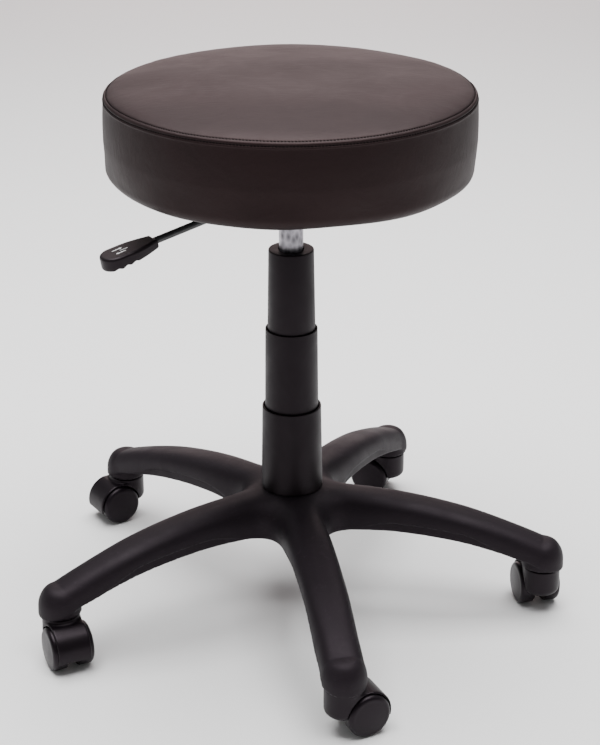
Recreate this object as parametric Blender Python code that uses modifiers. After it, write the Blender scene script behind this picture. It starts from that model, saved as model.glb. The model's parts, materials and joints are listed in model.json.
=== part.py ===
"""Rolling stylist stool: round padded seat, gas lift in three telescoping covers,
five-arm star base and twin-wheel castors.

Run with: blender --background --python part.py
Units are metres and +Z is up. The origin is on the floor, on the lift's axis.
"""
import math

import bmesh
import bpy
from mathutils import Matrix, Vector

# ---------------------------------------------------------------- driving dimensions
FIT = 0.0003                # gap between pieces that touch
RUN = 0.0005                # gap around a piece that turns or slides

# castors
WHEEL_R = 0.0255
WHEEL_OUTER = 0.0243        # outer face from the castor's middle, under its dome
WHEEL_DOME = 0.0008
WHEEL_ROUND = 0.0040
TRAIL = 0.0205              # from the stem's line back to the axle
WEB_W = 0.0134              # wall between the wheels, which holds the axle and the stem
HOOD_W = 0.0430
HOOD_SHELL = 0.0020
HOOD_FRONT = 0.0030         # how far the fender runs forward of the stem's line
WHEEL_ROOM = 0.0011         # gap between a wheel's tread and the hood
FENDER_END = math.radians(-15.0)
FENDER_START = math.radians(112.0)
HOOD_FOOT_Z = 0.0120
HOOD_GAP = 0.0015           # between the hood's top and the base's socket
BARREL_R = 0.0220
BARREL_BOTTOM_Z = 0.0240
AXLE_R = 0.0030
AXLE_INSET = 0.0050         # axle's end behind the wheel's outer face
STEM_R = 0.0055
STEM_DEPTH = 0.0180         # how deep the stem sits in the castor, under the socket's rim
STEM_ROOM = 0.0010          # bore left over the stem's top
GRIP_T = 0.0040
GRIP_GAP = 0.0016           # room for the snap ring around the stem
GRIP_RISE = 0.0100          # snap ring above the socket's rim
CASTOR_NAMES = ("front", "right", "back_right", "back_left", "left")
CASTOR_TRAIL_AZIMUTH = tuple(math.radians(a) for a in (26.0, 102.0, 159.0, -147.0, -65.0))

# star base; the socket's rim stands just over the wheels and the rest is measured from it
ARM_COUNT = 5
FIRST_ARM = math.radians(-79.6)
STEM_CIRCLE_R = 0.3050
RIM_OVER_WHEEL = 0.0090
SOCKET_RIM_Z = 2 * WHEEL_R + RIM_OVER_WHEEL
SOCKET_R = 0.0240
SOCKET_RISE = 0.0360
SOCKET_CROWN_T = 0.0060     # material left over the stem's bore
BASE_TOP_Z = SOCKET_RIM_Z + 0.0905
CREST_FALL = 0.0568         # from the hub's top to the arm's top line over the stem
CREST_POWER = 2.3
UNDER_Z = SOCKET_RIM_Z + 0.0450     # highest point of an arm's lower edge
UNDER_PEAK_R = 0.0900
UNDER_FALL = 0.0377
ARM_HALF_W = (0.0285, 0.0230)   # half width at the hub and at the tip
ARM_FLARE = 0.0200          # extra half width at the middle of the hub
ARM_FLARE_R = 0.0850
CREASE_DEPTH = 0.0170       # from crest to the widest point of the side
RIM_INSET = 0.0030          # the side folds in below its widest point
ARM_WALL = 0.0040
RIB_T = 0.0030
POCKETS = 4
ARCH_STEPS = 6
POCKET_START = 0.0460
POCKET_END = STEM_CIRCLE_R - 0.0270
HUB_WALL = 0.0135           # material round the outer tube
HUB_EDGE = 0.0040
HUB_BOTTOM_Z = SOCKET_RIM_Z + 0.0340

# outer tube of the lift and the bearing at its foot
TUBE_R = 0.0250
HUB_R = TUBE_R + HUB_WALL
TUBE_WALL = 0.0018
TUBE_BOTTOM_Z = HUB_BOTTOM_Z - 0.0100
TUBE_LENGTH = 0.2020
TUBE_TOP_Z = TUBE_BOTTOM_Z + TUBE_LENGTH
SLEEVE_LENGTH = 0.085
END_PLATE_T = 0.0030
RACE_T = 0.0020
RACE_R = 0.0150
BALL_R = 0.0015
BALL_COUNT = 6
BUMPER_T = 0.0075
BUMPER_INSET = 0.0020

# gas lift
LIFT_STROKE = 0.120
LIFT_SPARE = 0.0050         # cylinder's foot above the bumper when the lift is down
ROD_R = 0.0050
CYL_R = 0.0140
CYL_WALL = 0.0015
CYL_TOP_R = 0.0132
CONE_LENGTH = 0.0320
CONE_WALL = 0.0035
CYL_PROUD = 0.0025          # cylinder's top above the cone socket
CYL_CAP_T = 0.0060
PIN_R = 0.0035
PIN_DEPTH = 0.0120          # release pin's foot below the cylinder's cap
PIN_TRAVEL = 0.0060         # room under the release pin
PISTON_T = 0.0100
PISTON_GAP = 0.0030         # between the piston and the rod's guide when the lift is up
GUIDE_T = 0.0150
VALVE_LENGTH = 0.040
CLIP_T = 0.0014
CLIP_W = 0.0030
ROD_TAIL = 0.0020           # rod below its clip

# seat
SEAT_R = 0.2050             # radius at the seam
SEAT_BULGE = 0.0030         # how far the side band swells past the seam
SEAT_BOTTOM_Z = 0.5417      # underside of the folded band
BAND_HEIGHT = 0.0959
SEAM_Z = SEAT_BOTTOM_Z + BAND_HEIGHT
CROWN = 0.0200              # height of the crown above the seam
CROWN_POWER = 3.5
CROWN_FLAT_R = 0.0500       # the crown is flat inside this radius
VINYL = 0.0015
BAND_CORNER = 0.0120        # rounding of the band's lower edge
BAND_SHOULDER = 0.0200      # from the band's middle up to where it starts to lean in
FOLD_W = 0.0430             # how far the vinyl is folded in under the board
BOARD_INSET = 0.0150        # board's edge inside the seam
BOARD_T = 0.015
COVER_CLOTH = 0.0010
CLOTH_LAP = 0.0160          # how far the under cloth laps over the folded vinyl

# plate, bolts, bracket and release lever
PLATE_SIDE = 0.150
PLATE_T = 0.0025
BOLT_SPREAD = 0.120         # distance between the plate's bolt holes
BOLT_R = 0.0030
BOLT_LENGTH = 0.014
HEAD_R = 0.0060
HEAD_T = 0.0035
FLANGE_R = 0.0085
FLANGE_T = 0.0012
BRACKET = (0.068, 0.060, 0.029)
BRACKET_T = 0.0022
BUSH_WALL = 0.0022
BUSH_PROUD = 0.0008
LEVER_AZIMUTH = math.radians(-146.5)
LEVER_DROP = math.radians(10.0)
LEVER_RISE = 0.0169         # rod's centre line above the bracket's floor, at the lift's axis
LEVER_R = 0.0040
LEVER_INNER = 0.0080        # how far the rod runs past the lift's axis
LEVER_OUTER = 0.2150
PADDLE_START = 0.1780
PADDLE_END = 0.2430
PADDLE_ROOT_W = 0.018
PADDLE_W = 0.033
PADDLE_TOP = 0.0050         # paddle's flat top above the rod's centre line
PADDLE_ROOT_T = 0.0110
PADDLE_TIP_T = 0.0160

# telescoping covers; their tops share out the height between the base and the cone socket
COVER_WALL = 0.0013
COVER_EDGE = 0.0010
COVER_LAP = 0.0142          # how far one cover reaches into the next when the lift is up
COVER_TO_CONE = 0.0292
COVER_HOLE_R = 0.0150
UPPER_R = (TUBE_R + 0.0013, TUBE_R + 0.0033)  # radius at the top and at the foot
MIDDLE_R = (TUBE_R + 0.0056, TUBE_R + 0.0068)
LOWER_R = (TUBE_R + 0.0100, TUBE_R + 0.0118)
LOWER_SHARE = 0.349
MIDDLE_SHARE = 0.676

# ---------------------------------------------------------------- places worked out from them
FOLD_TOP_Z = SEAT_BOTTOM_Z + VINYL
BOARD_BOTTOM_Z = FOLD_TOP_Z + FIT
BOARD_TOP_Z = BOARD_BOTTOM_Z + BOARD_T
CLOTH_TOP_Z = BOARD_BOTTOM_Z - FIT
PLATE_TOP_Z = CLOTH_TOP_Z - COVER_CLOTH - FIT
PLATE_BOTTOM_Z = PLATE_TOP_Z - PLATE_T
BRACKET_TOP_Z = PLATE_BOTTOM_Z - FIT
BRACKET_FLOOR_Z = BRACKET_TOP_Z - BRACKET[2]
LEVER_AXIS_Z = BRACKET_FLOOR_Z + LEVER_RISE
CONE_TOP_Z = BRACKET_FLOOR_Z + BRACKET_T + FIT
CONE_BOTTOM_Z = CONE_TOP_Z - CONE_LENGTH
CYL_TOP_Z = CONE_TOP_Z + CYL_PROUD
PIVOT_X = BRACKET[0] / 2 - BRACKET_T / 2
FOLD_R = SEAT_R + SEAT_BULGE - FOLD_W
BOARD_R = SEAT_R - BOARD_INSET
BOLT_PLACES = [(x * BOLT_SPREAD / 2, y * BOLT_SPREAD / 2) for x in (-1, 1) for y in (-1, 1)]

LOWER_RACE_Z = TUBE_BOTTOM_Z + END_PLATE_T + FIT
BALL_Z = LOWER_RACE_Z + RACE_T + FIT + BALL_R
UPPER_RACE_Z = BALL_Z + BALL_R + FIT
BUMPER_Z = UPPER_RACE_Z + RACE_T + FIT
CYL_BOTTOM_Z = BUMPER_Z + BUMPER_T + LIFT_SPARE + LIFT_STROKE

COVERS_TOP_Z = CONE_BOTTOM_Z - COVER_TO_CONE
COVERS_RUN = COVERS_TOP_Z - BASE_TOP_Z
MIDDLE_TOP_Z = BASE_TOP_Z + MIDDLE_SHARE * COVERS_RUN
LOWER_TOP_Z = BASE_TOP_Z + LOWER_SHARE * COVERS_RUN

SOCKET_TOP_Z = SOCKET_RIM_Z + SOCKET_RISE
STEM_BORE_TOP_Z = SOCKET_TOP_Z - SOCKET_CROWN_T
HOOD_TOP_Z = SOCKET_RIM_Z - HOOD_GAP
STEM_BOTTOM_Z = SOCKET_RIM_Z - STEM_DEPTH
ARM_AZIMUTHS = [FIRST_ARM + 2 * math.pi * i / ARM_COUNT for i in range(ARM_COUNT)]

COLLECTION = "rolling_stylist_stool"

MATERIALS = {
    "vinyl": ((0.022, 0.020, 0.022), 0.45, 0.0),
    "foam": ((0.75, 0.68, 0.45), 0.95, 0.0),
    "plywood": ((0.55, 0.38, 0.22), 0.75, 0.0),
    "cloth": ((0.030, 0.030, 0.032), 0.95, 0.0),
    "zinc": ((0.62, 0.63, 0.65), 0.35, 1.0),
    "black_steel": ((0.030, 0.030, 0.032), 0.40, 0.6),
    "lift_steel": ((0.38, 0.38, 0.40), 0.42, 0.9),
    "bright_steel": ((0.75, 0.75, 0.77), 0.22, 1.0),
    "cover_plastic": ((0.024, 0.023, 0.025), 0.55, 0.0),
    "base_nylon": ((0.026, 0.026, 0.028), 0.60, 0.0),
    "castor_nylon": ((0.022, 0.022, 0.024), 0.42, 0.0),
    "sleeve_plastic": ((0.80, 0.80, 0.76), 0.50, 0.0),
    "rubber": ((0.015, 0.015, 0.015), 0.85, 0.0),
}


# ---------------------------------------------------------------- helpers
def clear_scene():
    """Remove every object, so that the script starts from an empty scene."""
    for obj in list(bpy.data.objects):
        bpy.data.objects.remove(obj, do_unlink=True)


def new_collection(name):
    """Make a collection under the scene's own."""
    collection = bpy.data.collections.new(name)
    bpy.context.scene.collection.children.link(collection)
    return collection


def material(name):
    """Return the named Principled material, and make it the first time."""
    found = bpy.data.materials.get(name)
    if found:
        return found
    colour, roughness, metallic = MATERIALS[name]
    made = bpy.data.materials.new(name)
    made.use_nodes = True
    shader = made.node_tree.nodes["Principled BSDF"]
    shader.inputs["Base Color"].default_value = (*colour, 1.0)
    shader.inputs["Roughness"].default_value = roughness
    shader.inputs["Metallic"].default_value = metallic
    return made


def add_object(name, mesh, finish, parent=None, place=None, cutter=False):
    """Link a mesh as an object in the parts or the cutters collection."""
    obj = bpy.data.objects.new(name, mesh)
    (CUTTERS if cutter else PARTS).objects.link(obj)
    if cutter:
        obj.hide_render = True
        obj.display_type = "WIRE"
    else:
        obj.data.materials.append(material(finish))
    if parent:
        obj.parent = parent
    if place is not None:
        obj.matrix_basis = place
    return obj


def add_empty(name, location, turn=0.0, parent=None):
    """Make an empty that carries a group of pieces."""
    empty = bpy.data.objects.new(name, None)
    PARTS.objects.link(empty)
    empty.location = location
    empty.rotation_euler = (0.0, 0.0, turn)
    empty.empty_display_size = 0.03
    empty.parent = parent
    return empty


def mesh_from(bm, name, smooth_angle=40.0):
    """Turn a bmesh into a mesh with smooth round faces and sharp edges."""
    mesh = bpy.data.meshes.new(name)
    bm.to_mesh(mesh)
    bm.free()
    mesh.shade_smooth()
    mesh.set_sharp_from_angle(angle=math.radians(smooth_angle))
    return mesh


def profile_mesh(name, points, closed):
    """Mesh of edges in the XZ plane, for a Screw modifier to turn."""
    bm = bmesh.new()
    verts = [bm.verts.new((radius, 0.0, height)) for radius, height in points]
    ends = zip(verts, verts[1:] + verts[:1]) if closed else zip(verts, verts[1:])
    for first, second in ends:
        bm.edges.new((first, second))
    mesh = bpy.data.meshes.new(name)
    bm.to_mesh(mesh)
    bm.free()
    return mesh


def turned(name, points, finish, steps=24, parent=None, place=None, cutter=False):
    """Turn a profile about Z. It runs down the outer side; off the axis it is a closed loop."""
    closed = min(radius for radius, _ in points) > 0.0
    obj = add_object(name, profile_mesh(name, points, closed), finish, parent, place, cutter)
    screw = obj.modifiers.new("Screw", "SCREW")
    screw.axis = "Z"
    screw.steps = steps
    screw.render_steps = steps
    screw.use_merge_vertices = True
    screw.merge_threshold = 0.00005
    screw.use_smooth_shade = True
    return obj


def ring(outer, inner, top, bottom):
    """Closed profile of a plain ring."""
    return [(outer, top), (outer, bottom), (inner, bottom), (inner, top)]


def disc(outer, top, bottom):
    """Profile of a plain solid disc or rod."""
    return [(0.0, top), (outer, top), (outer, bottom), (0.0, bottom)]


def rod_bmesh(radius, length, segments=12, axis="Z"):
    """Solid rod centred on the origin, along the given axis."""
    bm = bmesh.new()
    bmesh.ops.create_cone(bm, cap_ends=True, segments=segments, radius1=radius,
                          radius2=radius, depth=length)
    turn = {"X": Matrix.Rotation(math.pi / 2, 4, "Y"), "Y": Matrix.Rotation(math.pi / 2, 4, "X")}
    if axis in turn:
        bmesh.ops.transform(bm, matrix=turn[axis], verts=bm.verts)
    return bm


def add_box(bm, size, centre, turn=0.0):
    """Add a box to a bmesh, turned about Z before it is moved."""
    place = Matrix.Translation(centre) @ Matrix.Rotation(turn, 4, "Z")
    bmesh.ops.create_cube(bm, size=1.0, matrix=place @ Matrix.Diagonal((*size, 1.0)))


def boxes(name, finish, sizes_and_centres, parent=None, cutter=False):
    """One object of separate boxes."""
    bm = bmesh.new()
    for size, centre in sizes_and_centres:
        add_box(bm, size, centre)
    return add_object(name, mesh_from(bm, name), finish, parent, cutter=cutter)


def boolean(obj, cutter, operation="DIFFERENCE"):
    """Add an exact Boolean with another object."""
    modifier = obj.modifiers.new(operation.title(), "BOOLEAN")
    modifier.operation = operation
    modifier.solver = "EXACT"
    modifier.object = cutter


def add_post(bm, radius, top, bottom, spot, segments):
    """Add an upright solid rod to a bmesh."""
    place = Matrix.Translation((spot[0], spot[1], (top + bottom) / 2))
    bmesh.ops.create_cone(bm, cap_ends=True, segments=segments, radius1=radius, radius2=radius,
                          depth=top - bottom, matrix=place)


def loft(bm, sections):
    """Join closed sections of equal point counts into one capped solid."""
    rings = [[bm.verts.new(point) for point in section] for section in sections]
    for near, far in zip(rings, rings[1:]):
        for i in range(len(near)):
            j = (i + 1) % len(near)
            bm.faces.new((near[i], near[j], far[j], far[i]))
    bm.faces.new(reversed(rings[0]))
    bm.faces.new(rings[-1])
    bmesh.ops.recalc_face_normals(bm, faces=bm.faces)


def bolt_bores(name, top, bottom, seat):
    """Cutter for the four bolt holes through one layer of the seat."""
    bm = bmesh.new()
    for spot in BOLT_PLACES:
        add_post(bm, BOLT_R + FIT, top, bottom, spot, 10)
    place = Matrix.Rotation(LEVER_AZIMUTH, 4, "Z")
    return add_object(name, mesh_from(bm, name), None, seat, place, cutter=True)


# ---------------------------------------------------------------- seat cushion
SEAT_STEPS = 36


def crown_height(radius):
    """Height of the cushion's outer skin: flat in the middle, with a round shoulder."""
    reach = max(radius, CROWN_FLAT_R) / SEAT_R
    return SEAM_Z + CROWN * math.sqrt(1.0 - reach ** CROWN_POWER)


def seat_pieces(seat):
    """Vinyl panels, foam, plywood board and under cloth."""
    reach = [0.0, CROWN_FLAT_R] + [SEAT_R * share for share in (0.55, 0.77, 0.90, 0.97, 1.0)]
    top = [(r, crown_height(r)) for r in reach]
    under = [(r, crown_height(r) - VINYL) for r in reversed(reach[:-1])]
    turned("seat_top_panel", top + under, "vinyl", SEAT_STEPS, seat)

    bulge = SEAT_R + SEAT_BULGE
    inner = bulge - VINYL
    fold = bulge - BAND_CORNER
    corner = BAND_CORNER * (1.0 - math.sqrt(0.5))
    side_top = SEAM_Z - VINYL - FIT
    middle = (side_top + SEAT_BOTTOM_Z) / 2
    band = [
        (SEAT_R, side_top),
        (bulge, middle + BAND_SHOULDER),
        (bulge, SEAT_BOTTOM_Z + BAND_CORNER),
        (bulge - corner, SEAT_BOTTOM_Z + corner),
        (fold, SEAT_BOTTOM_Z),
        (FOLD_R, SEAT_BOTTOM_Z),
        (FOLD_R, FOLD_TOP_Z),
        (fold, FOLD_TOP_Z),
        (inner, SEAT_BOTTOM_Z + BAND_CORNER),
        (SEAT_R - VINYL, side_top),
    ]
    turned("seat_side_band", band, "vinyl", SEAT_STEPS, seat)

    skin = VINYL + FIT
    foam_top = [(r, crown_height(r) - skin) for r in reach[:5]]
    foam_side = SEAT_R - skin - FIT
    foam = foam_top + [
        (foam_side, side_top - 2 * FIT),
        (foam_side, BOARD_TOP_Z + FIT),
        (0.0, BOARD_TOP_Z + FIT),
    ]
    turned("foam_pad", foam, "foam", SEAT_STEPS, seat)

    slab = disc(BOARD_R, BOARD_TOP_Z, BOARD_BOTTOM_Z)
    board = turned("seat_board", slab, "plywood", SEAT_STEPS, seat)
    boolean(board, bolt_bores("board_bores", BOARD_TOP_Z + FIT, BOARD_BOTTOM_Z - FIT, seat))

    cloth_step = FOLD_R - FIT
    low = SEAT_BOTTOM_Z - FIT
    cloth_r = FOLD_R + CLOTH_LAP
    cloth = [
        (0.0, CLOTH_TOP_Z),
        (cloth_step - COVER_CLOTH, CLOTH_TOP_Z),
        (cloth_step, low),
        (cloth_r, low),
        (cloth_r, low - COVER_CLOTH),
        (cloth_step - 2 * COVER_CLOTH, low - COVER_CLOTH),
        (cloth_step - 3 * COVER_CLOTH, CLOTH_TOP_Z - COVER_CLOTH),
        (0.0, CLOTH_TOP_Z - COVER_CLOTH),
    ]
    cover = turned("dust_cover", cloth, "cloth", SEAT_STEPS, seat)
    boolean(cover, bolt_bores("cloth_bores", CLOTH_TOP_Z + FIT, PLATE_TOP_Z, seat))


# ---------------------------------------------------------------- seat plate and lever
def plate_pieces(seat):
    """Plate, bolts, lever bracket, bush and cone socket under the cushion."""
    holder = add_empty("plate_frame", (0, 0, 0), LEVER_AZIMUTH, seat)
    plate_size = (PLATE_SIDE, PLATE_SIDE, PLATE_T)
    plate_spot = (0, 0, PLATE_TOP_Z - PLATE_T / 2)
    plate = boxes("seat_plate", "black_steel", [(plate_size, plate_spot)], holder)
    boolean(plate, bolt_bores("plate_bores", PLATE_TOP_Z + FIT, PLATE_BOTTOM_Z - FIT, seat))
    flange_top = PLATE_BOTTOM_Z - FIT
    head_top = flange_top - FLANGE_T
    bolt = [(0.0, flange_top + BOLT_LENGTH), (BOLT_R, flange_top + BOLT_LENGTH),
            (BOLT_R, flange_top), (FLANGE_R, flange_top), (FLANGE_R, head_top),
            (HEAD_R, head_top), (HEAD_R, head_top - HEAD_T), (0.0, head_top - HEAD_T)]
    for number, (x, y) in enumerate(BOLT_PLACES, 1):
        turned(f"plate_bolt_{number}", bolt, "zinc", 12, holder, Matrix.Translation((x, y, 0)))

    length, width, depth = BRACKET
    middle = BRACKET_TOP_Z - depth / 2
    bracket = boxes("lever_bracket", "black_steel", [(BRACKET, (0, 0, middle))], holder)
    hollow = (length - 2 * BRACKET_T, width - 2 * BRACKET_T, depth)
    inner = [(hollow, (0, 0, middle + BRACKET_T))]
    boolean(bracket, boxes("bracket_hollow", None, inner, holder, cutter=True))
    bore = disc(cylinder_radius(BRACKET_FLOOR_Z) + FIT + CONE_WALL + RUN, BRACKET_TOP_Z,
                BRACKET_FLOOR_Z - depth)
    boolean(bracket, turned("bracket_cone_bore", bore, None, 20, holder, cutter=True))
    bush_r = LEVER_R + RUN + BUSH_WALL
    bush_spot = Matrix.Translation((PIVOT_X, 0, lever_height(PIVOT_X)))
    bush_bore = mesh_from(rod_bmesh(bush_r + FIT, 4 * BRACKET_T, 12, "X"), "bush_bore")
    boolean(bracket, add_object("bracket_bush_bore", bush_bore, None, holder, bush_spot, cutter=True))
    half = BRACKET_T / 2 + BUSH_PROUD
    turned("lever_bush", ring(bush_r, LEVER_R + RUN, half, -half), "sleeve_plastic", 12, holder,
           bush_spot @ Matrix.Rotation(math.pi / 2, 4, "Y"))

    inner_top = cylinder_radius(CONE_TOP_Z) + FIT
    outer = inner_top + CONE_WALL
    socket = [(outer, CONE_TOP_Z), (outer, CONE_BOTTOM_Z),
              (cylinder_radius(CONE_BOTTOM_Z) + FIT, CONE_BOTTOM_Z), (inner_top, CONE_TOP_Z)]
    turned("cone_socket", socket, "black_steel", 24, seat)
    return holder


def lever_height(x):
    """Height of the rod's centre line at a distance from the lift's axis."""
    return LEVER_AXIS_Z - x * math.tan(LEVER_DROP)


def lever_pieces(holder):
    """Rod that turns in the bush and the paddle pushed onto its end."""
    pivot = add_empty("lever_pivot", (PIVOT_X, 0, lever_height(PIVOT_X)), 0.0, holder)
    pivot.rotation_euler = (0.0, LEVER_DROP, 0.0)
    stretch = 1.0 / math.cos(LEVER_DROP)
    start = (-LEVER_INNER - PIVOT_X) * stretch
    end = (LEVER_OUTER - PIVOT_X) * stretch
    rod = mesh_from(rod_bmesh(LEVER_R, end - start, 12, "X"), "lever_rod")
    add_object("lever_rod", rod, "black_steel", pivot, Matrix.Translation(((start + end) / 2, 0, 0)))

    first = (PADDLE_START - PIVOT_X) * stretch
    last = (PADDLE_END - PIVOT_X) * stretch
    length = last - first
    bm = bmesh.new()
    sections = []
    shares = (0.0, 0.10, 0.30, 0.55, 0.78, 0.92, 1.0)
    for share in shares:
        grow = math.sin(min(share / 0.30, 1.0) * math.pi / 2)
        width = PADDLE_ROOT_W + (PADDLE_W - PADDLE_ROOT_W) * grow
        if share > 0.78:
            width *= math.sqrt(max(0.16, 1.0 - ((share - 0.78) / 0.22) ** 2))
        thick = PADDLE_ROOT_T + (PADDLE_TIP_T - PADDLE_ROOT_T) * share
        sections.append([Vector((first + share * length, y * width / 2, PADDLE_TOP - z * thick))
                         for y, z in ((-0.9, 0.85), (-0.7, 1), (0.7, 1), (0.9, 0.85),
                                      (1, 0.15), (0.86, 0), (-0.86, 0), (-1, 0.15))])
    loft(bm, sections)
    paddle = add_object("lever_paddle", mesh_from(bm, "lever_paddle"), "castor_nylon", pivot)
    hole = end - first + 2 * FIT
    bore = mesh_from(rod_bmesh(LEVER_R + FIT, hole, 12, "X"), "paddle_bore")
    place = Matrix.Translation((end + FIT - hole / 2, 0, 0))
    boolean(paddle, add_object("paddle_bore", bore, None, pivot, place, cutter=True))


# ---------------------------------------------------------------- gas lift
def cylinder_radius(height):
    """Radius of the lift cylinder: straight, then a taper into the cone socket."""
    if height <= CONE_BOTTOM_Z:
        return CYL_R
    share = (height - CONE_BOTTOM_Z) / (CYL_TOP_Z - CONE_BOTTOM_Z)
    return CYL_R + (CYL_TOP_R - CYL_R) * share


def pin_top():
    """Top of the release pin, just under the lever rod's lowest point above it."""
    return lever_height(PIN_R) - LEVER_R / math.cos(LEVER_DROP) - FIT


def lift_pieces(seat, turner):
    """Cylinder, valve and pin that ride with the seat; piston and rod that turn in the column."""
    bore = CYL_R - CYL_WALL
    pin_hole = PIN_R + RUN
    cap_z = CYL_TOP_Z - CYL_CAP_T
    cylinder = [(CYL_TOP_R, CYL_TOP_Z), (CYL_R, CONE_BOTTOM_Z), (CYL_R, CYL_BOTTOM_Z),
                (bore, CYL_BOTTOM_Z), (bore, CONE_BOTTOM_Z), (CYL_TOP_R - CYL_WALL, cap_z),
                (pin_hole, cap_z), (pin_hole, CYL_TOP_Z)]
    turned("lift_cylinder", cylinder, "lift_steel", 24, seat)

    valve_r = CYL_TOP_R - CYL_WALL - FIT
    valve_top = cap_z - FIT
    valve_bottom = valve_top - VALVE_LENGTH
    pin_foot = valve_top - PIN_DEPTH
    well = pin_foot - PIN_TRAVEL
    valve = [(0.0, well), (pin_hole, well), (pin_hole, valve_top),
             (valve_r, valve_top), (valve_r, valve_bottom), (0.0, valve_bottom)]
    turned("valve_body", valve, "bright_steel", 20, seat)
    turned("release_pin", disc(PIN_R, pin_top(), pin_foot), "bright_steel", 12, seat)

    guide_top = CYL_BOTTOM_Z + FIT + GUIDE_T
    guide = ring(bore - FIT, ROD_R + RUN, guide_top, CYL_BOTTOM_Z + FIT)
    turned("rod_guide", guide, "sleeve_plastic", 20, seat)

    piston_low = guide_top + PISTON_GAP
    piston = disc(bore - RUN, piston_low + PISTON_T, piston_low)
    turned("piston_head", piston, "sleeve_plastic", 20, turner)
    clip_top = TUBE_BOTTOM_Z - FIT
    clip_low = clip_top - CLIP_T
    rod = disc(ROD_R, piston_low - FIT, clip_low - ROD_TAIL)
    turned("piston_rod", rod, "bright_steel", 16, turner)
    clip = ring(ROD_R + CLIP_W, ROD_R + FIT, clip_top, clip_low)
    turned("retaining_clip", clip, "zinc", 12, turner)

    race = ring(RACE_R, ROD_R + FIT, UPPER_RACE_Z + RACE_T, UPPER_RACE_Z)
    turned("bearing_upper_race", race, "bright_steel", 20, turner)
    bumper = ring(RACE_R - BUMPER_INSET, ROD_R + FIT, BUMPER_Z + BUMPER_T, BUMPER_Z)
    turned("rubber_bumper", bumper, "rubber", 20, turner)
    track = (RACE_R + ROD_R) / 2
    wide = BALL_R * 0.8
    thick = BALL_R * 0.4
    ring_points = ring(track + wide, track - wide, BALL_Z + thick, BALL_Z - thick)
    cage = turned("bearing_ball_cage", ring_points, "bright_steel", 16, turner)
    balls = bmesh.new()
    for i in range(BALL_COUNT):
        turn = 2 * math.pi * i / BALL_COUNT
        place = Matrix.Translation((track * math.cos(turn), track * math.sin(turn), BALL_Z))
        bmesh.ops.create_uvsphere(balls, u_segments=6, v_segments=4, radius=BALL_R, matrix=place)
    ball_mesh = mesh_from(balls, "bearing_balls", 180.0)
    boolean(cage, add_object("bearing_balls", ball_mesh, None, turner, cutter=True), "UNION")


def column_pieces(base):
    """Outer tube of the lift, its guide sleeve, end plate and lower race, fixed in the base."""
    bore = TUBE_R - TUBE_WALL
    turned("column_tube", ring(TUBE_R, bore, TUBE_TOP_Z, TUBE_BOTTOM_Z), "black_steel", 28, base)
    sleeve = ring(bore - FIT, CYL_R + RUN, TUBE_TOP_Z, TUBE_TOP_Z - SLEEVE_LENGTH)
    turned("guide_sleeve", sleeve, "sleeve_plastic", 24, base)
    plate = ring(bore - FIT, ROD_R + RUN, TUBE_BOTTOM_Z + END_PLATE_T, TUBE_BOTTOM_Z)
    turned("column_end_plate", plate, "zinc", 24, base)
    race = ring(RACE_R, ROD_R + RUN, LOWER_RACE_Z + RACE_T, LOWER_RACE_Z)
    turned("bearing_lower_race", race, "bright_steel", 20, base)


def cover(name, radii, top, bottom, hole_r, parent):
    """Tapered sleeve with a lip that closes in to the hole at its top."""
    top_r, bottom_r = radii
    outline = [(top_r - COVER_EDGE, top), (top_r, top - COVER_EDGE), (bottom_r, bottom),
               (bottom_r - COVER_WALL, bottom), (top_r - COVER_WALL, top - COVER_WALL),
               (hole_r, top - COVER_WALL), (hole_r, top)]
    return turned(name, outline, "cover_plastic", 24, parent)


def cover_pieces(base, middle, upper):
    """Three telescoping covers; each one's top hole clears the one above."""
    cover("cover_upper", UPPER_R, COVERS_TOP_Z, MIDDLE_TOP_Z - COVER_LAP, COVER_HOLE_R, upper)
    cover("cover_middle", MIDDLE_R, MIDDLE_TOP_Z, LOWER_TOP_Z - COVER_LAP, UPPER_R[1] + 2 * RUN, middle)
    cover("cover_lower", LOWER_R, LOWER_TOP_Z, BASE_TOP_Z + FIT, MIDDLE_R[1] + 2 * RUN, base)


# ---------------------------------------------------------------- star base
def crest(radius):
    """Height of an arm's top line at a distance from the lift's axis."""
    return BASE_TOP_Z - CREST_FALL * (radius / STEM_CIRCLE_R) ** CREST_POWER


def lower_edge(radius):
    """Height of an arm's lower edge at a distance from the lift's axis."""
    share = max(0.0, radius - UNDER_PEAK_R) / (STEM_CIRCLE_R - UNDER_PEAK_R)
    return UNDER_Z - UNDER_FALL * share ** 2


def half_width(radius):
    """Half of an arm's width, widening into the hub."""
    near, far = ARM_HALF_W
    flare = ARM_FLARE * max(0.0, 1.0 - radius / ARM_FLARE_R) ** 2
    return near + (far - near) * radius / STEM_CIRCLE_R + flare


def arm_section(radius):
    """Section of an arm across its length: rounded top, widest at the crease, folded in below."""
    width = half_width(radius)
    crease = crest(radius) - CREASE_DEPTH
    low = lower_edge(radius)
    points = []
    for i in range(ARCH_STEPS + 1):
        turn = math.pi * i / ARCH_STEPS
        across = math.copysign(abs(math.cos(turn)) ** 0.80, math.cos(turn))
        up = abs(math.sin(turn)) ** 0.80
        points.append(Vector((radius, across * width, crease + CREASE_DEPTH * up)))
    rim = width - RIM_INSET
    return points + [Vector((radius, -rim, low)), Vector((radius, rim, low))]


def arm_solid(name, turn, parent):
    """One arm as a lofted solid from the hub's middle to the socket."""
    bm = bmesh.new()
    end = STEM_CIRCLE_R - SOCKET_R * 0.3
    stations = [0.004, 0.035, 0.060] + [0.100 + (end - 0.100) * i / 4 for i in range(5)]
    loft(bm, [arm_section(radius) for radius in stations])
    place = Matrix.Rotation(turn, 4, "Z")
    return add_object(name, mesh_from(bm, name), None, parent, place, cutter=True)


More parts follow.
